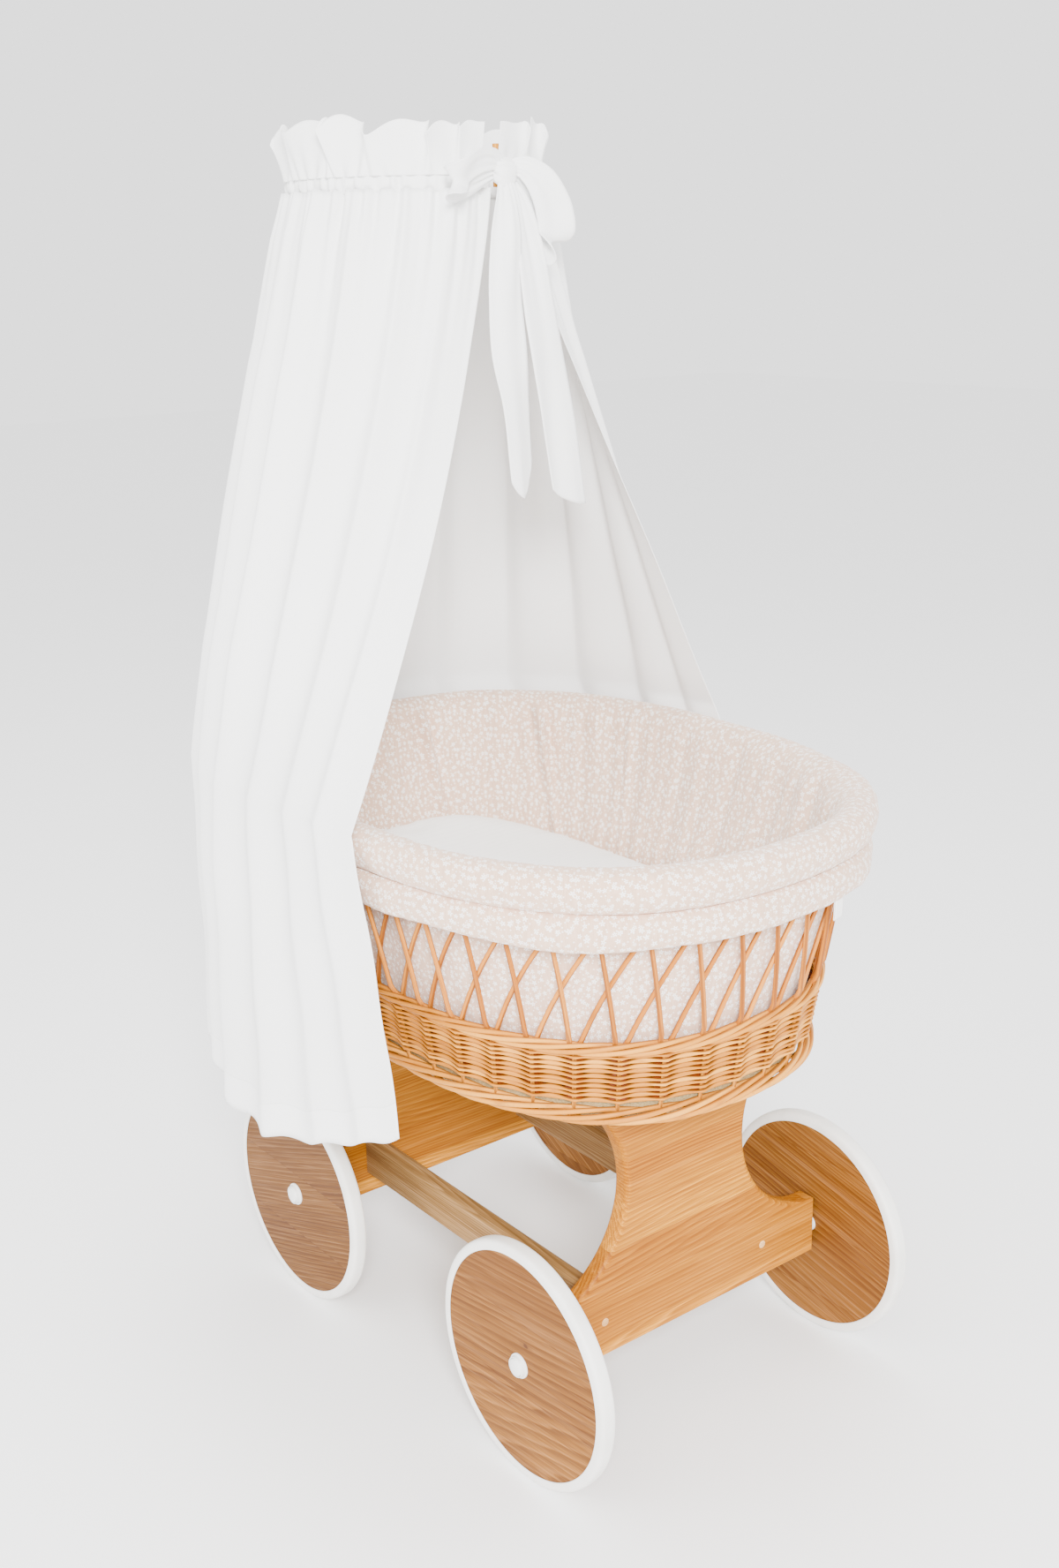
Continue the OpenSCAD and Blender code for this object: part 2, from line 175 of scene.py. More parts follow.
def wood(name, along, colours, seed, strips=None, ring=0.0042, turn=0.0, knot=None):
    """Varnished softwood. along is the grain's axis, colours its light, middle and dark tones,
    strips the (axis, width, start) of glued strips, ring the growth rings' spacing, all in metres."""
    light, mid, dark = colours
    bright = scaled(light, 1.35, 0.05)
    s = Shader(name, Coat_Weight=0.02, Coat_Roughness=0.3)
    spin = {"X": (0, 0, 0), "Y": (0, 0, -PI / 2), "Z": (0, PI / 2, 0)}[along]
    base = s.place()
    if strips:
        axis, width, start = strips
        count = s.math("DIVIDE", s.minus(s.split(base)["XYZ".index(axis)], start), width)
        cell = s.math("FLOOR", count)
        # Each strip is cut from another place of the same wood
        jitter = s.white_noise(s.plus(cell, seed * 3.7))[1]
        base = s.vmath("ADD", base, s.vmath("MULTIPLY", s.vmath("SUBTRACT", jitter, (0.5, 0.5, 0.5)),
                                            (0.4, 0.4, 0.05)))
    if turn:
        base = s.mapping(base, turn=(0, turn, 0))
    grain = s.mapping(base, turn=spin)

    def along_grain(length, across, detail, rough=0.5, move=(0, 0, 0)):
        return s.noise(s.mapping(grain, scale=(length, across, across), move=move), 1.0, detail, rough)

    # The growth rings are shells round a line beside the board; slow noise makes them wander
    wander = along_grain(1.6, 9, 2.0)
    x, y, z = s.split(grain)[0:3]
    oy = s.plus(s.plus(y, 0.031 + 0.013 * seed % 0.05), s.times(x, 0.05))
    oz = s.plus(z, 0.043 + 0.021 * seed % 0.06)
    radius = s.math("SQRT", s.plus(s.times(oy, oy), s.times(oz, oz)))
    radius = s.plus(radius, s.times(wander, 0.034))
    radius = s.plus(radius, s.times(along_grain(0.8, 30, 3.0), 0.012))
    phase = s.math("FRACT", s.math("DIVIDE", radius, ring))
    late = s.times(s.range(phase, 0.3, 0.9), s.range(phase, 0.99, 0.92))
    early = s.times(s.range(phase, 0.3, 0.1), s.range(phase, 0.0, 0.05))
    wide = along_grain(1.2, 14, 3.0, move=(seed, 0, 0))
    fibre = along_grain(14, 900, 2.0, 0.6)
    pore = along_grain(45, 2300, 1.0)
    band = along_grain(2.5, 150, 3.0, 0.6)
    strength = s.times(late, s.range(wide, 0.3, 0.7, 0.15, 1.0))
    colour = s.mix(s.range(wide, 0.25, 0.8), light, mid)
    colour = s.mix(s.times(strength, 0.92), colour, dark)
    colour = s.mix(s.times(early, s.range(wide, 0.35, 0.65, 0.55, 0.1)), colour, bright)
    colour = s.mix(s.range(band, 0.48, 0.72, 0.0, 0.48), colour, dark)
    colour = s.mix(s.range(band, 0.48, 0.3, 0.0, 0.38), colour, bright)
    colour = s.mix(s.range(fibre, 0.35, 0.75, 0.0, 0.5), colour, dark)
    colour = s.mix(s.range(fibre, 0.45, 0.25, 0.0, 0.35), colour, bright)
    colour = s.mix(s.range(pore, 0.62, 0.8, 0.0, 0.35), colour, tint(0.16, 0.06, 0.012))
    if strips:
        colour = s.mix(s.times(s.white_noise(s.plus(cell, seed))[0], 0.45), colour, dark)
        edge = s.math("FRACT", count)
        line = s.times(s.range(edge, 0.0, 0.012), s.range(edge, 1.0, 0.988))
        colour = s.mix(s.range(line, 0.0, 1.0, 0.45, 0.0), colour, dark)
    if knot:
        # The distance is squeezed so that the knot is a lens along the grain
        squeeze = (1, 0.2, 1.7)
        spot = s.vmath("DISTANCE", s.vmath("MULTIPLY", s.place(), squeeze),
                       tuple(k * q for k, q in zip(knot, squeeze)))
        colour = s.mix(s.range(spot, 0.0062, 0.0022, 0.0, 0.95), colour, rgb(70, 40, 24))
        colour = s.mix(s.range(spot, 0.018, 0.004, 0.0, 0.35), colour, dark)
    height = s.plus(s.times(late, 0.5), s.times(fibre, 0.6))
    return s.set(Base_Color=colour, Roughness=s.range(fibre, 0.2, 0.8, 0.42, 0.56),
                 Specular_IOR_Level=0.1, Normal=s.bump(height, 0.00025, 0.5))


def willow(name, gloss=0.04, deeper_tone_and_shade=1.0):
    """Peeled and varnished willow rods. tone is one number for each rod, the map's U runs along it."""
    s = Shader(name, Coat_Weight=gloss, Coat_Roughness=0.25)
    uv = s.cloth_uv()
    streak = s.noise(s.mapping(uv, scale=(9, 900, 1)), 1.0, 3.0, 0.6)
    patch = s.noise(s.mapping(uv, scale=(22, 60, 1)), 1.0, 3.0, 0.6)
    mottle = s.noise(s.place(), 260, 3.0, 0.6)
    colour = s.ramp(s.attribute("tone"), [(0.0, tint(0.42, 0.14, 0.006)), (0.45, tint(0.58, 0.215, 0.012)),
                                          (1.0, tint(0.78, 0.34, 0.045))])
    colour = s.mix(s.range(streak, 0.35, 0.75, 0.0, 0.45), colour, tint(0.74, 0.32, 0.05))
    colour = s.mix(s.range(patch, 0.5, 0.8, 0.0, 0.6), colour, tint(0.28, 0.08, 0.005))
    colour = s.mix(s.range(mottle, 0.55, 0.8, 0.0, 0.3), colour, tint(0.22, 0.06, 0.004))
    # Painted shade: each rod is darkened towards two opposite sides of its girth, so that it looks round and dark
    # where rods lie together
    painted_edge_shade = s.math("ABSOLUTE", s.math("SINE", s.times(s.split(uv)[1], 2 * PI / ROD_GIRTH)))
    colour = s.mix(s.range(painted_edge_shade, 0.68, 1.0, 0.0, 0.72), colour, tint(0.20, 0.055, 0.003))
    # Below 1 the whole colour is multiplied down: a deeper own colour for the lattice rods, and painted shade for
    # the inner rows seen through the gaps
    if deeper_tone_and_shade < 1:
        colour = s.mix(1.0, colour, (deeper_tone_and_shade, deeper_tone_and_shade * deeper_tone_and_shade, deeper_tone_and_shade ** 3, 1.0), "MULTIPLY")
    return s.set(Base_Color=colour, Roughness=s.range(streak, 0.3, 0.7, 0.4, 0.55),
                 Specular_IOR_Level=0.18, Normal=s.bump(streak, 0.0002, 0.6))


def muslin(name):
    """Crinkled cotton gauze with a dense print of small white flowers and dots."""
    s = Shader(name, Roughness=0.92, Sheen_Weight=0.25, Sheen_Roughness=0.6, Specular_IOR_Level=0.15)
    uv = s.cloth_uv()
    bent = s.noise(s.mapping(uv, scale=(60, 25, 1)), 1.0, 2.0)
    wavy = s.vmath("ADD", uv, s.join(s.times(s.minus(bent, 0.5), 0.0025)))

    # A flower: five lobes round a bare heart, turned and sized at random in each cell
    size, petals = 0.0029, 5.0
    cells = s.voronoi(wavy, 112, 0.85)
    dx, dy = s.split(s.vmath("SUBTRACT", wavy, cells["Position"]))[0:2]
    spin = s.split(cells["Color"])
    angle = s.plus(s.math("ARCTAN2", dy, dx), s.times(spin[0], 6.28))
    lobe = s.plus(s.times(s.math("COSINE", s.times(angle, petals)), 0.3), 0.72)
    far = s.vmath("LENGTH", s.join(dx, dy))
    reach = s.times(lobe, s.math("MULTIPLY_ADD", spin[1], size * 0.45, size * 0.75))
    flower = s.times(s.range(s.minus(far, reach), 0.00035, -0.00035),
                     s.range(far, size * 0.16, size * 0.26))
    dots = s.range(s.voronoi(s.mapping(wavy, move=(0.7, 0.4, 0)), 150, 1.0)["Distance"], 0.16, 0.11)
    mask = s.math("MAXIMUM", flower, s.times(dots, 0.8))

    crinkle = s.noise(s.mapping(uv, scale=(330, 45, 1)), 1.0, 3.0, 0.6, 0.6)
    weave = s.noise(s.mapping(uv, scale=(1500, 1500, 1)), 1.0, 1.0)
    # The ground is darker where the crinkle's bump lies low: painted shade in the crinkle's hollows
    ground = s.mix(s.range(crinkle, 0.3, 0.7), tint(0.63, 0.42, 0.30), tint(0.72, 0.50, 0.37))
    printed = s.times(mask, s.range(weave, 0.3, 0.6, 0.8, 1.0))
    return s.set(Base_Color=s.mix(printed, ground, tint(0.93, 0.92, 0.90)),
                 Normal=s.bump(weave, 0.0002, 0.4, s.bump(crinkle, 0.0011, 0.55)))


def plain_cloth(name, base, weave=1500.0, crease=0.0, stripes=0.0, hem=None, body=0.1):
    """Plain woven cotton with weave threads to the metre. hem is the map's V in metres from which
    the cloth lies double, stripes the spacing of a woven stripe, crease the depth of soft creases."""
    s = Shader(name, Roughness=0.9, Sheen_Weight=0.2, Sheen_Roughness=0.5, Specular_IOR_Level=0.2,
               Subsurface_Weight=body, Subsurface_Radius=(0.01, 0.01, 0.01), Subsurface_Scale=0.4)
    uv = s.cloth_uv()
    darker = scaled(base, 0.93)
    thread = s.math("MAXIMUM", s.noise(s.mapping(uv, scale=(weave, 60, 1)), 1.0, 2.0),
                    s.noise(s.mapping(uv, scale=(60, weave, 1)), 1.0, 2.0))
    colour = s.mix(s.range(thread, 0.45, 0.8, 0.0, 0.6), base, darker)
    height = thread
    if stripes:
        band = s.math("SINE", s.times(s.split(uv)[0], 2 * PI / stripes))
        colour = s.mix(s.range(band, 0.0, 0.9, 0.0, 0.5), colour, darker)
    if hem:
        v = s.split(uv)[1]
        double = s.range(v, hem - 0.0008, hem)
        # A narrow grey line where the cloth starts to lie double: the stitching, drawn grey as painted shade of
        # the hem's step
        seam = s.times(s.range(v, hem - 0.0012, hem), s.range(v, hem + 0.0016, hem))
        colour = s.mix(s.times(double, 0.7), colour, scaled(base, 1.05))
        colour = s.mix(s.times(seam, 0.35), colour, rgb(205, 205, 202))
        height = s.plus(height, s.times(double, 2.0))
    normal = s.bump(height, 0.00012, 0.5)
    if crease:
        fold = s.noise(s.mapping(uv, scale=(16, 7, 1)), 1.0, 4.0, 0.55, 1.2)
        slow = s.noise(s.mapping(uv, scale=(9, 5, 1)), 1.0, 3.0)
        normal = s.bump(s.plus(fold, s.times(slow, 0.7)), crease, 0.6, normal)
    return s.set(Base_Color=colour, Normal=normal)


def moulded(name, base, rough=0.35, coat=0.0, dirt=None):
    """Moulded plastic or rubber: a fine texture, faint flow marks and light wear."""
    s = Shader(name, Specular_IOR_Level=0.45, Coat_Weight=coat, Coat_Roughness=0.1)
    place = s.place()
    slow = s.noise(place, 22, 3.0)
    return s.set(Base_Color=s.mix(s.range(slow, 0.4, 0.75, 0.0, 0.55), base, dirt or scaled(base, 0.9)),
                 Roughness=s.range(slow, 0.3, 0.7, rough - 0.05, rough + 0.08),
                 Normal=s.bump(s.noise(place, 900, 3.0, 0.6), 0.00006, 0.5))


def plated_steel(name):
    s = Shader(name, Metallic=1.0, Specular_IOR_Level=0.5)
    brushed = s.noise(s.mapping(s.place(), scale=(60, 900, 900)), 1.0, 3.0)
    return s.set(Base_Color=s.mix(brushed, rgb(196, 197, 199), rgb(150, 151, 154)),
                 Roughness=s.range(brushed, 0.3, 0.7, 0.24, 0.42), Normal=s.bump(brushed, 0.00005, 0.4))


def speckled_board(name):
    """The raw edge of the pressed fibre board that the basket is woven on."""
    s = Shader(name, Roughness=0.85, Specular_IOR_Level=0.25)
    place = s.place()
    chips = s.noise(s.mapping(place, scale=(1, 1, 2.4)), 420, 3.0, 0.7)
    dark = s.noise(place, 900, 2.0)
    colour = s.ramp(chips, [(0.3, tint(0.22, 0.14, 0.05)), (0.5, tint(0.45, 0.32, 0.14)),
                            (0.72, tint(0.64, 0.49, 0.26))])
    colour = s.mix(s.range(dark, 0.62, 0.72, 0.0, 0.5), colour, tint(0.12, 0.07, 0.02))
    return s.set(Base_Color=colour, Normal=s.bump(chips, 0.0005, 0.6))


# Light, middle and dark tones of each kind of wood
BOARD = (tint(0.60, 0.25, 0.010), tint(0.47, 0.165, 0.004), tint(0.22, 0.06, 0.001))
RAIL = (tint(0.35, 0.20, 0.075), tint(0.265, 0.14, 0.045), tint(0.13, 0.06, 0.015))
DISC = (tint(0.30, 0.12, 0.016), tint(0.22, 0.08, 0.008), tint(0.095, 0.028, 0.003))
DEEP_DISC = tuple(scaled(tone, 0.72) for tone in DISC)
PLUG = (tint(0.74, 0.44, 0.2), tint(0.64, 0.34, 0.13), tint(0.42, 0.2, 0.06))
BOARD_STRIPS = ("Z", 0.056, 0.083)
wood_board = wood("board_wood", "Y", BOARD, 1.0, BOARD_STRIPS, ring=0.0046)
wood_board_rear = wood("rear_board_wood", "Y", BOARD, 2.3, BOARD_STRIPS, ring=0.0044)
wood_rail = wood("rail_wood", "X", RAIL, 3.1, ring=0.0032)
disc_looks = {
    "front_left": wood("disc_wood_front_left", "X", DISC, 4.0, ("Z", 0.094, 0.02), ring=0.0062, turn=0.10,
                       knot=(0.25 + X0 + 0.012, -0.2515, 0.182)),
    "front_right": wood("disc_wood_front_right", "X", DISC, 5.2, ("Z", 0.1, 0.05), ring=0.0056, turn=-0.2),
    "rear_left": wood("disc_wood_rear_left", "X", DEEP_DISC, 6.4, ("Z", 0.09, 0.0), ring=0.006, turn=0.35),
    "rear_right": wood("disc_wood_rear_right", "X", DISC, 7.7, ("Z", 0.1, 0.03), ring=0.0064, turn=-0.5),
}
wood_plug = wood("plug_wood", "Y", PLUG, 8.0, ring=0.002)
wood_pole = wood("pole_wood", "Z", BOARD, 9.0, ring=0.004)
willow_rods = willow("willow")
willow_thin = willow("willow_lattice", deeper_tone_and_shade=0.86)
# The inner rows' willow, darkened throughout as painted shade
willow_shade = willow("willow_inside_painted_shade", 0.0, 0.4)
muslin_cloth = muslin("printed_muslin")
VOILE = rgb(241, 241, 240)
voile = plain_cloth("voile", VOILE, 1700.0, hem=1.157, body=0.0)
ribbon_cloth = plain_cloth("ribbon_voile", VOILE, 1700.0, body=0.0)
sheet_cloth = plain_cloth("sheet_cotton", rgb(253, 253, 250), 1400.0, crease=0.0015, stripes=0.009)
quilt_cloth = plain_cloth("mattress_cotton", rgb(238, 235, 226), 1100.0, crease=0.002)
label_cloth = plain_cloth("label_tape", rgb(246, 246, 243), 2200.0)
# A warm brown thread, dark as painted shade of the crease between the nest's roll and band
crease_thread_shade_cloth = plain_cloth("seam_thread_crease_shade", rgb(150, 112, 92), 2500.0)
tyre_rubber = moulded("white_rubber", rgb(238, 236, 231), 0.5, dirt=rgb(218, 216, 209))
white_plastic = moulded("white_plastic", rgb(232, 232, 229), 0.3, 0.15)
grey_plastic = moulded("grey_plastic", rgb(96, 97, 100), 0.5)
steel = plated_steel("plated_steel")
raw_board = speckled_board("fibre_board")


# ---------------------------------------------------------------- mesh helpers

def unit(vectors):
    return vectors / np.linalg.norm(vectors, axis=-1)[..., None]


def lengths(line):
    """The length run along a line of points up to each of them."""
    return np.r_[0, np.cumsum(np.linalg.norm(np.diff(line, axis=0), axis=1))]


def full_turn(count):
    return np.linspace(0, 2 * PI, count, endpoint=False)


def lay_map(mesh, layer, maps):
    """Gives every corner of the mesh the place of its point on the map."""
    corners = np.empty(len(mesh.loops), int)
    mesh.loops.foreach_get("vertex_index", corners)
    layer.data.foreach_set("uv", maps[corners].ravel())


class Build:
    """Collects vertices in millimetres, faces, a map in metres and one tone for each rod."""

    def __init__(self):
        self.points, self.faces, self.maps, self.tones, self.count = [], [], [], [], 0

    def add(self, points, faces, maps=None, tone=0.5):
        points = np.asarray(points, float).reshape(-1, 3)
        self.points.append(points)
        self.faces += [tuple(int(i) + self.count for i in f) for f in faces]
        self.maps.append(np.zeros((len(points), 2)) if maps is None else np.asarray(maps, float).reshape(-1, 2))
        self.tones.append(np.broadcast_to(np.asarray(tone, float).ravel(), (len(points),)))
        self.count += len(points)

    def grid(self, points, maps=None, wrap_u=False, wrap_v=False, tone=0.5):
        """points is an array of rows, u then v. A wrapped way joins its last line to its first."""
        nu, nv = points.shape[:2]
        us = range(nu if wrap_u else nu - 1)
        vs = range(nv if wrap_v else nv - 1)
        faces = [(i * nv + j, ((i + 1) % nu) * nv + j, ((i + 1) % nu) * nv + (j + 1) % nv, i * nv + (j + 1) % nv)
                 for i in us for j in vs]
        self.add(points, faces, maps, tone)

    def close(self, first, count, stride=1, back=False):
        """One face over count points, each stride after the last."""
        ring = range(first, first + count * stride, stride)
        self.faces.append(tuple(ring[::-1] if back else ring))

    def tube(self, path, wide, high=None, sides=8, up=(0, 0, 1), closed=False, tone=0.5):
        """A rod along path with half sizes wide and high, given as numbers or one for each point."""
        path = np.asarray(path, float)
        n = len(path)
        wide = np.broadcast_to(np.asarray(wide, float), (n,))
        high = wide if high is None else np.broadcast_to(np.asarray(high, float), (n,))
        along = np.roll(path, -1, 0) - np.roll(path, 1, 0) if closed else np.gradient(path, axis=0)
        along = unit(along)
        side = unit(np.cross(np.broadcast_to(np.asarray(up, float), (n, 3)), along))
        top = np.cross(along, side)
        a = full_turn(sides)
        ring = (path[:, None] + wide[:, None, None] * np.cos(a)[None, :, None] * side[:, None]
                + high[:, None, None] * np.sin(a)[None, :, None] * top[:, None])
        tone = np.broadcast_to(np.asarray(tone, float), (n,))
        # The tone shifts the map along the rod, so that no two rods show the same streaks
        maps = np.stack(np.broadcast_arrays((lengths(path) * MM + tone * 3.1)[:, None],
                                            (a / (2 * PI) * ROD_GIRTH)[None, :]), -1)
        start = self.count
        self.grid(ring, maps, closed, True, np.repeat(tone, sides))
        if not closed:
            self.close(start, sides, back=True)
            self.close(start + (n - 1) * sides, sides)

    def lathe(self, profile, centre, axis, steps=64, closed=False):
        """Turns (distance, radius) points about a line through centre along axis (a unit vector)."""
        axis = np.asarray(axis, float)
        one = np.array([0, 0, 1.0]) if abs(axis[2]) < 0.9 else np.array([1.0, 0, 0])
        one = one - axis * one.dot(axis)
        one /= np.linalg.norm(one)
        two = np.cross(axis, one)
        profile = np.asarray(profile, float)
        a = full_turn(steps)
        turn = np.cos(a)[:, None] * one + np.sin(a)[:, None] * two
        points = (np.asarray(centre, float) + profile[None, :, 0, None] * axis
                  + profile[None, :, 1, None] * turn[:, None])
        start, n = self.count, len(profile)
        self.grid(points, None, True, closed)
        for row, back in ((0, False), (n - 1, True)):
            if profile[row, 1] > 1e-6 and not closed:
                self.close(start + row, steps, n, back)

    def object(self, name, material, body="cradle", sharp=None, replaces=(), solid=True):
        """Makes the piece. sharp is the angle from which edges stay sharp; open cloth is not solid."""
        points = np.concatenate(self.points) * MM
        points[:, 0] += X0
        mesh = bpy.data.meshes.new(name)
        mesh.from_pydata(points.tolist(), [], self.faces)
        mesh.polygons.foreach_set("use_smooth", [True] * len(mesh.polygons))
        lay_map(mesh, mesh.uv_layers.new(name="Cloth"), np.concatenate(self.maps))
        tone = mesh.attributes.new("tone", "FLOAT", "POINT")
        tone.data.foreach_set("value", np.concatenate(self.tones))
        mesh.update()
        if solid:
            work = bmesh.new()
            work.from_mesh(mesh)
            bmesh.ops.recalc_face_normals(work, faces=work.faces)
            work.to_mesh(mesh)
            work.free()
        if sharp is not None:
            mesh.set_sharp_from_angle(angle=sharp)
        piece = bpy.data.objects.new(name, mesh)
        bpy.context.collection.objects.link(piece)
        mesh.materials.append(material)
        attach(piece, body)
        if replaces:
            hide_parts(*replaces)
        return piece


def solidify(piece, thickness, offset=0.0):
    """Gives open cloth a thickness in millimetres, evenly about its surface or, with offset -1, inward."""
    m = piece.modifiers.new("cloth_thickness", "SOLIDIFY")
    m.thickness = thickness * MM
    m.offset = offset
    m.use_quality_normals = True


def spline(points, n, closed=False):
    """n points along a smooth curve through the given ones."""
    p = np.asarray(points, float)
    k = len(p)
    if closed:
        q = np.concatenate([p[-1:], p, p[:2]])
        t = np.linspace(0, k, n, endpoint=False)
    else:
        q = np.concatenate([2 * p[:1] - p[1:2], p, 2 * p[-1:] - p[-2:-1]])
        t = np.linspace(0, k - 1, n)
    i = np.minimum(t.astype(int), (k if closed else k - 1) - 1)
    f = (t - i)[:, None]
    a, b, c, d = q[i], q[i + 1], q[i + 2], q[i + 3]
    return 0.5 * (2 * b + (c - a) * f + (2 * a - 5 * b + 4 * c - d) * f ** 2 + (3 * b - a - 3 * c + d) * f ** 3)


def step(a, b, x):
    """Rises smoothly from 0 at a to 1 at b."""
    t = np.clip((np.asarray(x, float) - a) / (b - a), 0, 1)
    return t * t * (3 - 2 * t)


def waves(s, length, parts, seed):
    """A smooth random wave along s that closes on itself after length, from parts (count, size)."""
    r = np.random.default_rng(seed)
    total = np.zeros_like(s)
    for count, size in parts:
        for k in (count, count + 1, max(1, count - 2)):
            total += size * r.uniform(0.5, 1) * np.sin(2 * PI * k * s / length + r.uniform(0, 6.28))
    return total / 1.6


# ---------------------------------------------------------------- the basket's oval

OVAL = 2.45      # the power of the superellipse


def oval_radius(a, b, t):
    """Distance of the oval with half axes a and b from its middle in the direction t."""
    return (np.abs(np.cos(t) / a) ** OVAL + np.abs(np.sin(t) / b) ** OVAL) ** (-1 / OVAL)


WALL_FOOT, FOOT_X, FOOT_Y = 450, 350, 248      # height and half axes of the wall's foot


def wall(o, z, t):
    """Points of the basket's wall: o is the distance outward, z the height, t the direction."""
    o, z, t = np.broadcast_arrays(*(np.asarray(v, float) for v in (o, z, t)))
    above = z - WALL_FOOT
    r = oval_radius(FOOT_X + 0.156 * above + o, FOOT_Y + 0.182 * above + o, t)
    return np.stack([r * np.cos(t), r * np.sin(t), z], -1)


# Direction against the length along the wall at the waling's height, so that rods stand evenly
_turn = np.linspace(-PI, PI, 4001)
_line = wall(0, 545, _turn)
_run = lengths(_line)
ROUND = _run[-1]


def turn_at(s):
    """The direction at the length s along the wall; run_at goes the other way."""
    s = np.asarray(s, float)
    return np.interp(np.mod(s, ROUND), _run, _turn) + 2 * PI * np.floor(s / ROUND)


def run_at(t):
    return np.interp(t, _turn, _run)


PAIRS = 41                 # stakes round the basket, with a pair of lattice rods at each
PITCH = ROUND / PAIRS
FIRST = 9.95               # where the first stake stands
rng = np.random.default_rng(11)


# ---------------------------------------------------------------- camera, lights and floor

def camera():
    """The photo's view: a lens 1.1 times as long as the frame is tall."""
    yaw, pitch, roll = 2.4807, 0.2952, -0.0195
    ahead = Vector((math.cos(yaw) * math.cos(pitch), math.sin(yaw) * math.cos(pitch), -math.sin(pitch)))
    right = Vector((math.sin(yaw), -math.cos(yaw), 0))
    up = right.cross(ahead)
    right, up = (math.cos(roll) * right + math.sin(roll) * up, -math.sin(roll) * right + math.cos(roll) * up)
    data = bpy.data.cameras.new("camera")
    data.sensor_width = 36
    data.lens = 1954.3 / 1776 * data.sensor_width
    data.clip_end = 50
    cam = bpy.data.objects.new("camera", data)
    bpy.context.collection.objects.link(cam)
    turn = Matrix((right, up, -ahead)).transposed()
    cam.matrix_world = Matrix.Translation((1.6165 + X0, -1.2831, 1.3723)) @ turn.to_4x4()
    bpy.context.scene.camera = cam


def soft_light(name, place, aim, size, power):
    data = bpy.data.lights.new(name, "AREA")
    data.shape = "DISK"
    data.size = size
    data.energy = power
    lamp = bpy.data.objects.new(name, data)
    bpy.context.collection.objects.link(lamp)
    lamp.location = place
    lamp.rotation_mode = "QUATERNION"
    lamp.rotation_quaternion = (Vector(aim) - Vector(place)).to_track_quat("-Z", "Y")


def studio():
    world = bpy.data.worlds.new("studio")
    world.use_nodes = True
    sky = world.node_tree.nodes["Background"].inputs
    sky[0].default_value = (1, 1, 1, 1)
    sky[1].default_value = 2.15
    bpy.context.scene.world = world
    soft_light("key", (3.1, -2.1, 2.5), (0, 0, 0.8), 1.1, 430)
    soft_light("fill", (-0.8, -3.6, 1.6), (0, 0, 0.6), 1.8, 60)
    soft_light("top", (-0.6, 0.6, 3.9), (0, 0, 0.6), 1.6, 60)
    s = Shader("floor_paper", Roughness=0.95, Specular_IOR_Level=0.1)
    paper = s.set(Base_Color=s.mix(s.noise(s.place(), 3.0), tint(0.97, 0.97, 0.97), tint(0.95, 0.95, 0.95)))
    mesh = bpy.data.meshes.new("floor")
    half = 14.0
    mesh.from_pydata([(-half, -half, 0), (half, -half, 0), (half, half, 0), (-half, half, 0)], [], [(0, 1, 2, 3)])
    mesh.materials.append(paper)
    floor = bpy.data.objects.new("floor", mesh)
    bpy.context.collection.objects.link(floor)


camera()
studio()


# ---------------------------------------------------------------- end boards and rails

BOARD_X, BOARD_HALF_X, BOARD_HALF_Y, BOARD_FOOT = 250, 12.5, 226, 117
NOTCH_R, NOTCH_Y, NOTCH_Z, NOTCH_RISE, NOTCH_STEPS = 140, 236, 333, 113, 44
RAIL_END, RAIL_Y, RAIL_HALF_Y, RAIL_LOW, RAIL_TOP, RAIL_ROWS = 237.2, 132, 12, 148, 200, 12


def notch_arc(side):
    """Points of one notch from the foot up to the top edge. side is 1 for the notch at +y, else -1."""
    low = math.acos((NOTCH_Y - BOARD_HALF_Y) / NOTCH_R)
    high = math.acos(math.sqrt(NOTCH_R ** 2 - NOTCH_RISE ** 2) / NOTCH_R)
    a = np.linspace(-low, high, NOTCH_STEPS)
    return np.stack([side * (NOTCH_Y - NOTCH_R * np.cos(a)), NOTCH_Z + NOTCH_R * np.sin(a)], -1)


def slab(b, line, x0, x1, soft):
    """A slab between the planes x0 and x1 with its outline (y, z) softened by soft at each point."""
    n = len(line)
    soft = np.broadcast_to(np.asarray(soft, float), (n,))
    ahead, behind = np.roll(line, -1, 0) - line, line - np.roll(line, 1, 0)
    ahead, behind = unit(ahead), unit(behind)
    inward = unit(np.stack([-(ahead + behind)[:, 1], (ahead + behind)[:, 0]], -1))
    inward /= np.maximum(0.5, np.sqrt((1 + (ahead * behind).sum(1)) / 2))[:, None]
    rings = []
    for plane, face in ((x0, -1), (x1, 1)):
        turns = list(np.linspace(PI / 2, 0, 7))
        turns = [None] + turns if face < 0 else turns[::-1] + [None]
        for f in turns:
            drop = soft + 0.8 if f is None else soft * (1 - math.cos(f))
            rise = 0 if f is None else soft * (1 - math.sin(f))
            at = line + inward * drop[:, None]
            rings.append(np.stack([np.full(n, plane) - face * rise, at[:, 0], at[:, 1]], -1))
    start = b.count
    b.grid(np.array(rings), None, False, True)
    b.close(start, n, back=True)
    b.close(start + (len(rings) - 1) * n, n)


def end_board(name, node, x, material):
    foot = [(y, BOARD_FOOT) for y in (-BOARD_HALF_Y, -80, 80, BOARD_HALF_Y)]
    line = np.concatenate([foot, notch_arc(1), notch_arc(-1)[::-1]])
    # The edge is rounded along the notches and nearly sharp at their ends
    from_end = np.minimum(np.arange(NOTCH_STEPS), np.arange(NOTCH_STEPS)[::-1]) / 5
    soft = np.full(len(line), 1.2)
    soft[len(foot):] = np.tile(1.2 + 5.8 * step(0, 1, from_end), 2)
    b = Build()
    slab(b, line, x - BOARD_HALF_X, x + BOARD_HALF_X, soft)
    b.object(name, material, sharp=0.75, replaces=[node])


end_board("shaped_front_board", "front_board", BOARD_X, wood_board)
end_board("shaped_rear_board", "rear_board", -BOARD_X, wood_board_rear)

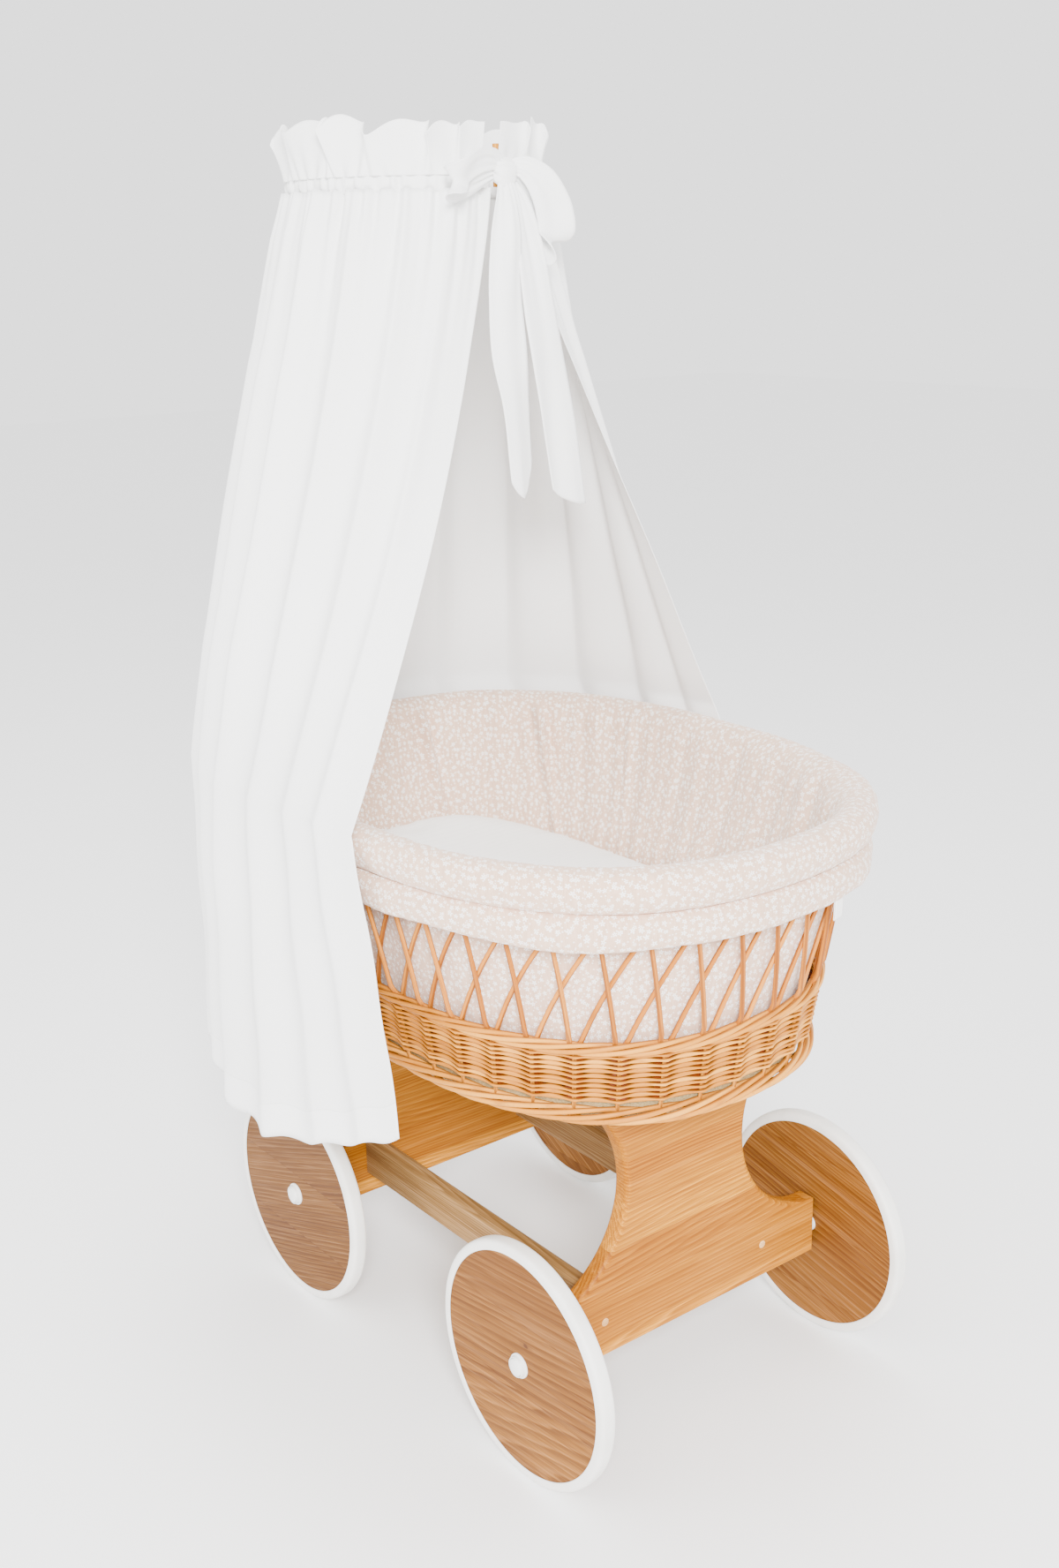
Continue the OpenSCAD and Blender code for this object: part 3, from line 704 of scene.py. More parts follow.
for side, node in ((-1, "left_rail"), (1, "right_rail")):
    line = []
    for sy, sz, r, start in ((1, -1, 3.0, -90), (1, 1, 6.0, 0), (-1, 1, 6.0, 90), (-1, -1, 3.0, 180)):
        for q in np.radians(start + np.linspace(0, 90, 7)):
            line.append([side * RAIL_Y + sy * (RAIL_HALF_Y - r) + r * math.cos(q),
                         (RAIL_TOP - r if sz > 0 else RAIL_LOW + r) + r * math.sin(q)])
    n = len(line)
    b = Build()
    rows = [[[x, y, z] for y, z in line] for x in np.linspace(-RAIL_END, RAIL_END, RAIL_ROWS)]
    b.grid(np.array(rows), None, False, True)
    b.close(0, n, back=True)
    b.close((RAIL_ROWS - 1) * n, n)
    b.object("rounded_" + node, wood_rail, sharp=0.75, replaces=[node])

b = Build()
for face in (-1, 1):
    for side in (-1, 1):
        b.lathe([(-4, 5.3), (-0.1, 5.3), (0.25, 5.0), (0.45, 3.6), (0.5, 1.6), (0.52, 0)],
                (face * (BOARD_X + BOARD_HALF_X), side * RAIL_Y, 162), (face, 0, 0), 40)
b.object("domed_screw_plugs", wood_plug, replaces=["screw_plugs"])


# ---------------------------------------------------------------- wheels

WHEEL_Y, CAP_Y, WHEEL_Z = 242.5, 251.5, 150
CORNERS = {"front_left": (250, -1), "front_right": (250, 1), "rear_left": (-250, -1), "rear_right": (-250, 1)}


def wheel(corner, x, side):
    """One wheel: profiles are (distance out from the centre along the axle, radius)."""
    body = "wheel_" + corner
    out = (0, side, 0)
    centre = (x, side * WHEEL_Y, WHEEL_Z)
    b = Build()
    soft = [(9 - 2.5 * (1 - math.cos(q)), 138.9 - 2.5 * (1 - math.sin(q)))
            for q in np.radians(np.linspace(0, 90, 6))[:-1]]
    half = [(9, 8.3), (9, 12), (9, 60), (9, 110), (9, 135.9)] + soft + [(4, 138.9)]
    b.lathe(half + [(-d, r) for d, r in half[::-1]], centre, out, 160, closed=True)
    b.object("grained_disc_" + corner, disc_looks[corner], body, sharp=0.9,
             replaces=["disc_" + corner])

    b = Build()
    ring = [(10.5 * math.copysign(abs(math.cos(q)) ** 0.55, math.cos(q)),
             140.2 + 9.8 * max(0, math.sin(q)) ** 0.62) for q in np.linspace(0, PI, 22)]
    lip = [(10.45, 137.9), (9.35, 137.2), (9.25, 139.3), (-9.25, 139.3), (-9.35, 137.2), (-10.45, 137.9)]
    b.lathe(ring + lip[::-1], centre, out, 176, closed=True)
    b.object("lipped_tyre_" + corner, tyre_rubber, body, sharp=0.9, replaces=["tyre_" + corner])

    b = Build()
    cap = [(0.1, 15), (1.9, 15), (2.4, 14.6), (2.5, 13.6), (2.2, 13.1), (5.9, 12.6), (6.6, 12.2), (6.9, 11.7),
           (6.6, 11.2), (4.2, 10.9)]
    dome = [(9.3 - 2.6 * (1 - math.cos(q)), 10.4 * math.sin(q)) for q in np.radians(np.linspace(90, 0, 8))]
    b.lathe(cap + dome, (x, side * CAP_Y, WHEEL_Z), out, 72)
    b.object("stepped_cap_" + corner, white_plastic, body, sharp=0.9,
             replaces=["cap_" + corner])


for corner, (x, side) in CORNERS.items():
    wheel(corner, x, side)


# ---------------------------------------------------------------- basket

ROWS, ROW_HEIGHT = 10, 6.35

# The woven rows pass out over the stakes and in between them; they stand lens-shaped gaps apart,
# thin at the stakes and thick midway. The row behind is coloured darker, as painted shade, and shows dark through
# the gaps.
b = Build()
samples = PAIRS * 14
s = np.arange(samples) / samples * ROUND
bay = np.abs((s - FIRST) / PITCH - np.round((s - FIRST) / PITCH))
kink = 1 - 2 * np.sin(PI * bay)
tall = np.interp(bay, [0, 0.05, 0.14, 0.26, 0.38, 0.5], [2.3, 1.6, 1.35, 2.1, 2.95, 3.2])
for row in range(ROWS):
    z = 479.3 + row * ROW_HEIGHT
    starts = rng.integers(0, PAIRS, 8)
    piece_at = np.searchsorted(np.sort(starts), (s / PITCH).astype(int), side="right")
    tone = rng.uniform(0.1, 1, 9)[piece_at]
    lift = waves(s, ROUND, [(3, 0.5), (17, 0.25)], 100 + row)
    swell = 1 + waves(s, ROUND, [(9, 0.05), (37, 0.05)], 140 + row)
    o = 1.6 + 3.1 * kink + waves(s, ROUND, [(PAIRS // 2, 0.35)], 180 + row)
    b.tube(wall(o, z + lift, turn_at(s)), 2.7, tall * swell, 8, closed=True, tone=tone)
b.object("weave_outer", willow_rods, replaces=["woven_wall"])

# The inner rows, in the darkened willow and the lower tones only: painted shade behind the outer rows
b = Build()
for row in range(ROWS + 1):
    z = 476.2 + row * ROW_HEIGHT
    o = -7.0 - 1.2 * kink
    b.tube(wall(o, z, turn_at(s)), 2.4, 2.7, 6, closed=True, tone=rng.uniform(0.0, 0.5))
b.object("weave_inner", willow_shade)

b = Build()
for k in range(PAIRS):
    t = turn_at(FIRST + k * PITCH)
    z = np.linspace(452, 548, 10)
    b.tube(wall(0.2, z, t), 2.4, None, 8, up=(math.cos(t), math.sin(t), 0), tone=rng.uniform(0.2, 0.8))
b.object("weave_stakes", willow_rods)

b = Build()
for k in range(PAIRS):
    u = np.linspace(-0.08, 1.08, 40)
    s0 = FIRST + (k + 4.5 * u) * PITCH
    f = np.radians(-128 + 262 * u + rng.uniform(-5, 5))
    far = 8.2 + rng.uniform(-0.5, 0.5)
    thick = np.interp(u, [-0.08, 0.1, 0.9, 1.08], [1.6, 3.5, 3.3, 1.2]) * rng.uniform(0.93, 1.07)
    b.tube(wall(0.8 + far * np.cos(f), 459 + far * np.sin(f), turn_at(s0)), thick, None, 9,
           tone=rng.uniform(0.15, 1))
b.object("border_plait", willow_rods, replaces=["bottom_border"])

b = Build()
for k in range(PAIRS):
    u = np.linspace(0, 1, 34)
    s0 = FIRST + (k + 4.4 * u) * PITCH
    f = np.radians(-165 + 330 * u)
    far = 5.6 + rng.uniform(-0.4, 0.4)
    thick = np.interp(u, [0, 0.1, 0.9, 1], [1.6, 3.15, 3.0, 1.4]) * rng.uniform(0.93, 1.07)
    b.tube(wall(-0.5 + far * np.cos(f), 546 + far * np.sin(f), turn_at(s0)), thick, None, 9,
           tone=rng.uniform(0.15, 1))
b.object("waling_plait", willow_rods, replaces=["top_waling"])

b = Build()
for k in range(PAIRS):
    for way in (-1, 1):
        u = np.linspace(0, 1, 30)
        lean = rng.uniform(-0.04, 0.04)
        bow = rng.uniform(-0.035, 0.035) * np.sin(PI * u)
        reach = 2.05 if way > 0 else 0.62
        at = k + way * (0.085 + reach * (0.66 * u + 0.34 * u * u)) + lean * u + bow
        o = (-way * 2.9 + 0.6 * np.sin(PI * u) * rng.uniform(-1, 1)) * step(0, 0.12, u) - 5 * step(0.1, 0, u)
        b.tube(wall(o, 543 + 195 * u, turn_at(FIRST + at * PITCH)), 3.1 - 0.5 * u, None, 9,
               tone=rng.uniform(0.2, 1))
b.object("lattice_rods", willow_thin, replaces=["lattice"])

b = Build()
t = np.linspace(-PI, PI, 240, endpoint=False)
z = np.array([446.5, 449, 460, 470, 474, 474.5, 470, 452, 446.2])
o = np.array([-8.5, -7.3, -6.9, -6.8, -7.0, -9.5, -10.5, -10.5, -9.5])
b.grid(wall(o[None, :], z[None, :], t[:, None]), None, True, True)
b.object("base_edge_band", raw_board)


# ---------------------------------------------------------------- padded nest

def section_ring(b, profile, n_around, shape, n_profile):
    """A closed (o, z) profile swept round the basket. shape(o, z, s) returns the moved o and z."""
    prof = spline(profile, n_profile, closed=True)
    q = lengths(prof)
    s = np.arange(n_around) / n_around * ROUND
    o, z = shape(*np.broadcast_arrays(prof[None, :, 0], prof[None, :, 1], s[:, None]))
    points = wall(o, z, turn_at(s)[:, None])
    maps = np.stack(np.broadcast_arrays(s[:, None] * MM * 1.12, q[None, :] * MM), -1)
    b.grid(points, maps, True, True)


# Pleats of the lining: (direction at the roll, direction at the foot, depth, width), in degrees and mm
WALL_PLEATS = [(143.7, 139.1, 23, 5.5), (170, 167.4, 22, 5.5), (153, 152, 6, 11), (128.3, 127.5, 6, 9),
               (118.2, 117.4, 7, 5), (93, 92, 3, 16), (70, 71, 3, 14), (48, 49, 3, 11), (-172, -170, 6, 9),
               (-150, -149, 5, 10), (28, 28.5, 3, 9), (-128, -126, 5, 11), (-100, -101, 4, 12),
               (-70, -69, 4, 10), (-40, -41, 4, 11), (-12, -11, 4, 10), (9, 9, 3, 10)]


def nest_shape(o, z, s):
    """Pleats and crinkles of the nest: its inner side, the skirt outside and the roll on top."""
    inner = step(-18, -24, o) * step(766, 745, z)
    skirt = step(-20, -15, o) * step(716, 700, z) * step(470, 500, z)
    roll = step(716, 730, z)
    down = np.clip((765 - z) / 180, 0, 1)
    pleats = np.zeros_like(o)
    for top, low, depth, width in WALL_PLEATS:
        line = run_at(math.radians(top)) * (1 - down) + run_at(math.radians(low)) * down
        gap = np.abs((s - line + ROUND / 2) % ROUND - ROUND / 2)
        pleats = pleats + depth * np.exp(-(gap / width) ** 1.05)
        pleats = pleats - 0.3 * depth * np.exp(-((gap - 2.2 * width) / width) ** 2)
    fine = waves(s, ROUND, [(23, 1.6), (47, 1.3), (83, 0.9)], 21)
    slanted = waves(s + 0.3 * z, ROUND, [(31, 1.2), (97, 0.4)], 22)
    outer = waves(s - 0.12 * z, ROUND, [(19, 2.2), (38, 1.3), (71, 0.6)], 23)
    soft = waves(s, ROUND, [(7, 1.0), (16, 0.7), (53, 0.35)], 24)
    crinkle = waves(s + 0.5 * z, ROUND, [(61, 0.35), (113, 0.2)], 25)
    edge = np.clip(1.2 - down, 0.4, 1)
    move = (inner * (-0.9 * pleats * edge + fine + slanted * 0.6) + skirt * outer * 0.8
            + roll * (soft * 0.7 + crinkle))
    return o + move, z + roll * waves(s, ROUND, [(5, 0.9), (13, 0.5)], 26)


b = Build()
section_ring(b, [(14, 721), (22, 727), (26, 738), (25.5, 752), (19, 764), (8, 769.5), (-6, 769), (-18, 760),
                 (-25, 742), (-27, 715), (-31, 670), (-38, 625), (-46, 588), (-45, 550), (-38, 510), (-33, 479),
                 (-18, 478.5), (-14, 500), (-13, 560), (-11.5, 620), (-10.5, 680), (-9.6, 722), (-8.6, 741),
                 (-3, 746.6), (4, 746.4), (9, 740), (9.5, 726)], 900, nest_shape, 96)
lining = b.object("quilted_nest", muslin_cloth, replaces=["nest_lining"])


def band_shape(o, z, s):
    """Ripples of the band that hangs over the basket's rim, growing towards its lower edge."""
    low = step(716, 690, z)
    out = step(12, 24, o)
    ripple = waves(s, ROUND, [(11, 1.1), (27, 0.9), (64, 0.5)], 31)
    tight = waves(s + 0.4 * z, ROUND, [(87, 0.4), (131, 0.25)], 32)
    return o + low * out * (ripple + tight), z + low * waves(s, ROUND, [(8, 1.5), (21, 0.9)], 33)


b = Build()
section_ring(b, [(10.2, 721), (10, 706), (11, 692), (15, 683), (22, 680.5), (28, 684), (30, 694), (28, 707),
                 (23.5, 717), (17, 721.3)], 900, band_shape, 44)
band = b.object("quilted_band", muslin_cloth, replaces=["nest_band"])

# A thin brown thread along the crease between roll and band: the seam's warm colour, darkened as painted shade of
# the crease
b = Build()
s = np.arange(500) / 500 * ROUND
b.tube(wall(15.6 + 0 * s, 721.2 + waves(s, ROUND, [(5, 0.5)], 34), turn_at(s)), 1.2, 0.8, 6, closed=True)
b.object("nest_seam_crease_shade", crease_thread_shade_cloth)

b = Build()
t = np.linspace(-PI, PI, 120, endpoint=False)
# The pad's section from its middle out, below and back above: (share of the oval, height)
section = [(-60, 457.3), (-26, 457.6), (-21.5, 462), (-21, 470), (-25, 475.5), (-60, 477)]
share, level = np.array([(0.000925, 457.3), *((1 + o / 346, z) for o, z in section), (0.000925, 477)]).T
reach = oval_radius(FOOT_X, FOOT_Y, t)[:, None] * share
points = np.stack([reach * np.cos(t)[:, None], reach * np.sin(t)[:, None], level + 0 * reach], -1)
b.grid(points, points[..., :2] * MM, True, True)
floor_pad = b.object("nest_floor_pad", muslin_cloth, replaces=["nest_floor"])

b = Build()
mid = Vector((400, 97, 669))
turn = math.atan2(mid.y, mid.x)
out = np.array([math.cos(turn), math.sin(turn), 0])
across = np.array([-math.sin(turn), math.cos(turn), 0])
fold = [(0.9, 13), (1.1, 6), (1.0, -4), (0.8, -9.5), (0.35, -10.8), (-0.35, -10.8), (-0.8, -9.5), (-0.6, -4),
        (-0.5, 6), (-0.3, 13)]
tag = np.array([[np.array(mid) + out * (d + 0.02 * (h + 11) + 0.5) + across * w + np.array([0, 0, h])
                 for d, h in fold] for w in np.linspace(-9, 9, 9)])
b.grid(tag, np.array([[(w * MM, h * MM) for d, h in fold] for w in np.linspace(-9, 9, 9)]))
label = b.object("blank_label", label_cloth, replaces=["nest_label"], solid=False)
solidify(label, 0.4)


# ---------------------------------------------------------------- mattress and sheet

def soft_block(name, a, b_half, z0, z1, edge, material, node):
    """An oval block with half axes a and b_half between the heights z0 and z1, with rounded edges."""
    b = Build()
    t = np.linspace(-PI, PI, 160, endpoint=False)
    q = np.radians(np.linspace(-90, 90, 17))
    inset = [a] + list(edge * (1 - np.cos(q))) + [a]
    level = [z0] + list(np.where(q < 0, z0 + edge * (1 + np.sin(q)), z1 - edge * (1 - np.sin(q)))) + [z1]
    points = np.array([[[*(oval_radius(max(a - i, 0.5), max(b_half - i, 0.5), u)
                           * np.array([math.cos(u), math.sin(u)])), h] for i, h in zip(inset, level)] for u in t])
    b.grid(points, points[..., :2] * MM, True, False)
    n = points.shape[1]
    b.close(0, len(t), n, back=True)
    b.close(n - 1, len(t), n)
    return b.object(name, material, replaces=[node])


def remesh(piece, voxel):
    m = piece.modifiers.new("remesh", "REMESH")
    m.mode = "VOXEL"
    m.voxel_size = voxel
    m.use_smooth_shade = True
    bake(piece)


def bake(piece):
    """Applies the piece's modifiers to its mesh."""
    done = bpy.data.meshes.new_from_object(piece.evaluated_get(bpy.context.evaluated_depsgraph_get()))
    piece.modifiers.clear()
    piece.data = done


def coordinates(mesh):
    out = np.empty(len(mesh.vertices) * 3)
    mesh.vertices.foreach_get("co", out)
    return out.reshape(-1, 3)


def put_coordinates(mesh, co):
    mesh.vertices.foreach_set("co", co.ravel())


def puff(piece, pressure, cap, frames=20):
    """Blows the piece up as cloth under pressure, and lets no point move further than cap metres."""
    before = coordinates(piece.data)
    m = piece.modifiers.new("puff", "CLOTH")
    m.settings.quality = 5
    m.settings.mass = 0.3
    m.settings.use_pressure = True
    m.settings.uniform_pressure_force = pressure
    m.settings.effector_weights.gravity = 0
    m.collision_settings.use_collision = False
    m.point_cache.frame_end = frames
    scene = bpy.context.scene
    for frame_number in range(1, frames + 1):
        scene.frame_set(frame_number)
    after = coordinates(piece.evaluated_get(bpy.context.evaluated_depsgraph_get()).data)
    piece.modifiers.clear()
    scene.frame_set(1)
    move = after - before
    far = np.linalg.norm(move, axis=1)
    move *= np.minimum(1, cap / np.maximum(far, 1e-9))[:, None]
    put_coordinates(piece.data, before + move)
    piece.data.update()


mattress = soft_block("stuffed_mattress", 320, 213, 481, 580, 13, quilt_cloth, "mattress")
remesh(mattress, 0.006)
puff(mattress, 4, 0.006)
co = coordinates(mattress.data)
# The mattress lies a little higher at the head end, on the folds of the nest's floor
co[:, 2] += 0.040 * np.clip((X0 - co[:, 0]) / 0.31, 0, 1) ** 2.6 * step(0.5, 0.565, co[:, 2])
put_coordinates(mattress.data, co)

# The sheet is the mattress's skin without its underside, smoothed and moved outward
sheet_mesh = mattress.data.copy()
work = bmesh.new()
work.from_mesh(sheet_mesh)
bmesh.ops.delete(work, geom=[f for f in work.faces if f.calc_center_median().z < 0.490], context="FACES")
bmesh.ops.smooth_vert(work, verts=work.verts, factor=0.5, use_axis_x=True, use_axis_y=True, use_axis_z=True)
work.normal_update()
for v in work.verts:
    v.co += v.normal * 0.0024
sheet = bpy.data.objects.new("stretched_sheet", sheet_mesh)
layer = work.loops.layers.uv.verify()
work.to_mesh(sheet_mesh)
work.free()
sheet_mesh.uv_layers[0].name = "Cloth"
co = coordinates(sheet_mesh)
top = co[:, 2].max()
flat_r = np.maximum(1e-6, np.hypot(co[:, 0] - X0, co[:, 1]))
side_t = np.arctan2(co[:, 1], co[:, 0] - X0)
edge_r = oval_radius(0.313, 0.207, side_t)
rim_near = np.exp(-((flat_r / edge_r - 0.97) / 0.07) ** 2)
pucker = np.sin(side_t * 61) * 0.5 + np.sin(side_t * 37 + 1) * 0.6 + np.sin(side_t * 97 + 2) * 0.25
crumple = (np.sin(co[:, 0] * 21 + co[:, 1] * 13) * np.sin(co[:, 1] * 27 - co[:, 0] * 9 + 1)
           + 0.6 * np.sin(co[:, 0] * 43 - co[:, 1] * 31 + 2))
co[:, 2] += 0.0005 * rim_near * pucker + 0.0007 * crumple * step(1.0, 0.8, flat_r / edge_r)
put_coordinates(sheet_mesh, co)
# The map is the sheet laid flat: it runs on outward down the mattress's sides
flat = co[:, :2] * (1 + (top - co[:, 2]) / flat_r)[:, None]
lay_map(sheet_mesh, sheet_mesh.uv_layers[0], flat)
sheet_mesh.materials.clear()
sheet_mesh.materials.append(sheet_cloth)
bpy.context.collection.objects.link(sheet)
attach(sheet, "cradle")
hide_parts("fitted_sheet")


# ---------------------------------------------------------------- canopy

HOOP_X, HOOP_Z, HOOP_R = -243.0, 1460.0, 148.0
CANOPY_TOP, DRAPE = 1453.0, 775.0      # heights of the curtain's gathered top and of the rim


def hem_height(u):
    """Height of the hem: raised at the front edges and where the cloth is caught near the head end."""
    return 330 + 95 * np.abs(2 * u - 1) ** 4 + 42 * np.exp(-((u - 0.69) / 0.09) ** 2)


# Long folds: (place at the hoop, place at the hem, depth, width). Places run from the far front edge, 0,
# round the head end to the near front edge, 1.
FOLDS = [(0.055, 0.05, 12, 0.016), (0.12, 0.115, 17, 0.019), (0.19, 0.19, 15, 0.018), (0.265, 0.26, 18, 0.02),
         (0.335, 0.33, 16, 0.018), (0.40, 0.40, 18, 0.019), (0.465, 0.47, 20, 0.018), (0.525, 0.53, 17, 0.016),
         (0.58, 0.585, 22, 0.017), (0.63, 0.635, 16, 0.014), (0.675, 0.675, 20, 0.016), (0.725, 0.72, 17, 0.014),
         (0.775, 0.77, 21, 0.017), (0.835, 0.835, 19, 0.019), (0.895, 0.90, 14, 0.018), (0.945, 0.955, 9, 0.013)]


def curtain_surface(u, v):
    """Points of the curtain for places u and rows v, from 0 to 1 above the rim and on to 2 at the hem."""
    up = np.clip(v, 0, 1)
    down = np.clip(v - 1, 0, 1)
    t_top = math.radians(6) + u * math.radians(353)
    r_top = HOOP_R + 9
    top = np.stack([HOOP_X + r_top * np.cos(t_top), r_top * np.sin(t_top), np.full_like(u, CANOPY_TOP)], -1)
    front = step(0.72, 1.0, u)
    ends = []
    # Where the far and the near front edge stand along x, at the rim and at the hem
    for x_far, x_near in ((-68.0, 86.0), (120.0, 146.0)):
        t0, t1 = math.atan2(363, x_far), 2 * PI - math.atan2(350, x_near)
        t = t0 + u * (t1 - t0)
        r = oval_radius(490, 364, t) * (1 - 0.045 * front + 0.03 * np.exp(-((u - 0.715) / 0.09) ** 2))
        ends.append(np.stack([r * np.cos(t), r * np.sin(t)], -1))
    mid = np.concatenate([ends[0], np.full_like(u, DRAPE)[..., None]], -1)
    hem = np.concatenate([ends[1], hem_height(u)[..., None]], -1)
    rise = up ** (0.95 + 0.55 * front)
    return np.where(v[..., None] <= 1, top + (mid - top) * np.stack([rise, rise, up], -1),
                    mid + (hem - mid) * down[..., None])


def curtain_folds(u, v):
    """How far the cloth stands out of its plain surface at u and v."""
    place = np.clip(v / 2, 0, 1)
    move = np.zeros_like(u)
    for top, low, depth, width in FOLDS:
        at = top + (low - top) * place
        d = (u - at) / (width * (0.55 + 0.75 * place))
        lobe = np.where(d < 0, np.exp(-np.abs(d * 1.25) ** 1.7), np.exp(-np.abs(d * 0.66) ** 1.5))
        grow = np.interp(v, [0, 0.08, 0.3, 0.8, 1.0, 1.25, 2.0], [0.3, 0.6, 0.9, 1.0, 0.7, 0.95, 1.15])
        move += depth * grow * lobe
    move -= 8.0 * np.clip(4 * v, 0.3, 1)
    pucker = (np.sin(2 * PI * 41 * u + 3 * np.sin(9 * u)) + 0.6 * np.sin(2 * PI * 67 * u + 2)
              + 0.4 * np.sin(2 * PI * 23 * u + 1))
    move += 4.0 * pucker * np.exp(-v / 0.10)
    slow = (np.sin(2 * PI * 3 * u + 1 + 2 * v) + 0.7 * np.sin(2 * PI * 5 * u + 4 - 1.5 * v)) * 4.5
    sag = (np.sin(14 * u + 5 * v) * np.sin(9 * v + 17 * u)) * 2.4
    return move * 1.05 + (slow + sag) * np.clip(v, 0, 1)


nu, nv1, nv2 = 620, 90, 50
u = np.linspace(0, 1, nu)[:, None]
v = np.r_[np.linspace(0, 1, nv1), 1 + np.linspace(0, 1, nv2)[1:]][None, :]
uu, vv = np.broadcast_arrays(u, v)
plain = curtain_surface(uu, vv)
normal = unit(np.cross(np.gradient(plain, axis=1), np.gradient(plain, axis=0)))
middle = np.array([HOOP_X / 2, 0, 900.0])
facing = ((plain - middle)[..., :2] * normal[..., :2]).sum(-1)
normal *= np.where(facing < 0, -1, 1)[..., None]
cloth = plain + normal * curtain_folds(uu, vv)[..., None]
# The hem's lower edge steps up and down a little where the folds turn
cloth[..., 2] += np.clip(vv - 1, 0, 1) * 3.0 * np.sin(2 * PI * 19 * uu)
# The map's U runs along the hem, its V down the cloth to 1.2 there
down = np.cumsum(np.c_[np.zeros((nu, 1)), np.linalg.norm(np.diff(cloth, axis=1), axis=2)], 1)
hem_run = np.broadcast_to(lengths(cloth[:, -1])[:, None], down.shape)
b = Build()
b.grid(cloth, np.stack([hem_run * MM, 1.2 - (down[:, -1:] - down) * MM], -1))
curtain = b.object("gathered_curtain", voile, "canopy", replaces=["canopy_curtain"], solid=False)
solidify(curtain, 0.9)

b = Build()
for start in (10, 190):
    a = np.radians(np.linspace(start, start + 160, 420))[:, None]
    q = full_turn(28)[None, :]
    gather = (np.sin(a * 58 + 2 * np.sin(a * 7)) + 0.7 * np.sin(a * 83 + 1.3) + 0.5 * np.sin(a * 37)) * 1.7
    across_r = 7.4 + gather * np.abs(np.sin(a * 11)) ** 0.5
    tall_r = 12.2 + 0.9 * np.sin(a * 31)
    r = HOOP_R + 1 + across_r * np.cos(q) + 0 * a
    z = HOOP_Z + 1 + tall_r * np.sin(q) + 0 * a
    points = np.stack([HOOP_X + r * np.cos(a), r * np.sin(a), z], -1)
    maps = np.stack(np.broadcast_arrays(a * 0.26, q * 0.01), -1)
    b.grid(points, maps, False, True)
casing = b.object("gathered_casing", ribbon_cloth, "canopy", replaces=["hoop_casing"], solid=False)
solidify(casing, 0.5, -1)

b = Build()
gap = math.radians(4.5)
t = np.linspace(gap, 2 * PI - gap, 1000)[:, None]
v = np.linspace(0, 1, 30)[None, :]
free = step(0, 0.35, t - gap) * step(0, 0.35, 2 * PI - gap - t)
# The ruffle swings in and out with psi, more towards its free edge and less at the opening
psi = 19 * t + 1.7 * np.sin(3 * t + 0.6) + 1.1 * np.sin(7 * t + 2)
size = (0.72 + 0.28 * np.sin(2.6 * t + 1) * np.sin(5.3 * t)) * (0.3 + 0.7 * free)
open_ = v ** 0.75
fold = np.sin(psi)
radial = (HOOP_R + 9.5 + 4 * v + 4 * v * v + 10 * size * open_ * fold
          + 2.2 * (1 - v) ** 2 * np.sin(57 * t + 2 * np.sin(5 * t)))
slide = 15 * size * open_ * np.cos(psi + 0.9) / 165
z = (1467 + 57 * v - 7 * v * v * size * fold + 5 * v * v * np.sin(2 * psi + 1) * size
     + (4 * np.sin(4 * t + 1) + 3 * np.sin(11 * t + 2)) * v * v * free)
tt = t + slide
points = np.stack([HOOP_X + radial * np.cos(tt), radial * np.sin(tt), z + 0 * tt], -1)
b.grid(points, np.stack(np.broadcast_arrays(lengths(points[:, -1])[:, None] * MM, v * 0.06), -1))
ruffle = b.object("gathered_ruffle", ribbon_cloth, "canopy", replaces=["canopy_ruffle"], solid=False)
solidify(ruffle, 0.8)


# ---------------------------------------------------------------- bow

def strip(b, path, widths, across, n, cup, ripple, seed, cut=0.0, point=0.0, origin=0.0, m=15):
    """A ribbon along path. across is the way its width lies at each given point, cup bends it round its
    length, ripple waves it, cut slants its end and point draws the end's middle out, in millimetres."""
    line = spline(path, n)
    wide = np.interp(np.linspace(0, 1, n), np.linspace(0, 1, len(widths)), widths)
    lay = spline(across, n)
    along = unit(np.gradient(line, axis=0))
    lay = unit(lay - along * (lay * along).sum(1)[:, None])
    up = np.cross(along, lay)
    w = np.linspace(-0.5, 0.5, m)[None, :]
    arch = 1 - 4 * w ** 2
    r = np.random.default_rng(seed)
    k = np.linspace(0, 1, n)[:, None]
    pinch = 1 - np.clip((wide - wide.min()) / max(1e-6, np.ptp(wide)), 0, 1)[:, None]
    fold = (np.sin(w * 19 + r.uniform(0, 6)) * 2.2 * pinch
            + ripple * np.sin(w * 8 + 5 * k + r.uniform(0, 6))
            + ripple * 0.8 * np.sin(k * 11 + w * 5 + r.uniform(0, 6)) + cup * arch)
    points = line[:, None] + lay[:, None] * (w * wide[:, None])[..., None] + up[:, None] * fold[..., None]
    points = points + along[:, None] * (step(0.85, 1, k) * (cut * (w + 0.5) + point * arch))[..., None]
    b.grid(points, np.stack(np.broadcast_arrays(w * 0.045, (lengths(line) * MM + origin)[:, None]), -1))


b = Build()
strip(b, [(-68, 2, 1474), (-58, -16, 1482), (-52, -40, 1480), (-50, -62, 1468), (-58, -72, 1458), (-66, -62, 1452),
          (-68, -40, 1456), (-69, -14, 1466), (-70, 2, 1470)],
      [12, 24, 34, 38, 38, 36, 30, 20, 12], [(0.5, 0.1, 1)] * 9, 90, cup=0, ripple=0.8, seed=3)
strip(b, [(-68, 10, 1474), (-54, 26, 1474), (-46, 45, 1458), (-44, 60, 1430), (-46, 66, 1400), (-56, 60, 1386),
          (-66, 50, 1400), (-70, 34, 1436), (-70, 20, 1460), (-70, 10, 1470)],
      [12, 26, 38, 46, 48, 46, 42, 32, 20, 12], [(0.3, 0.55, 0.8)] * 10, 96, cup=0, ripple=1.2, seed=4)
loops = b.object("ribbon_loops", ribbon_cloth, "canopy", replaces=["bow_loops"], solid=False)
solidify(loops, 0.9)

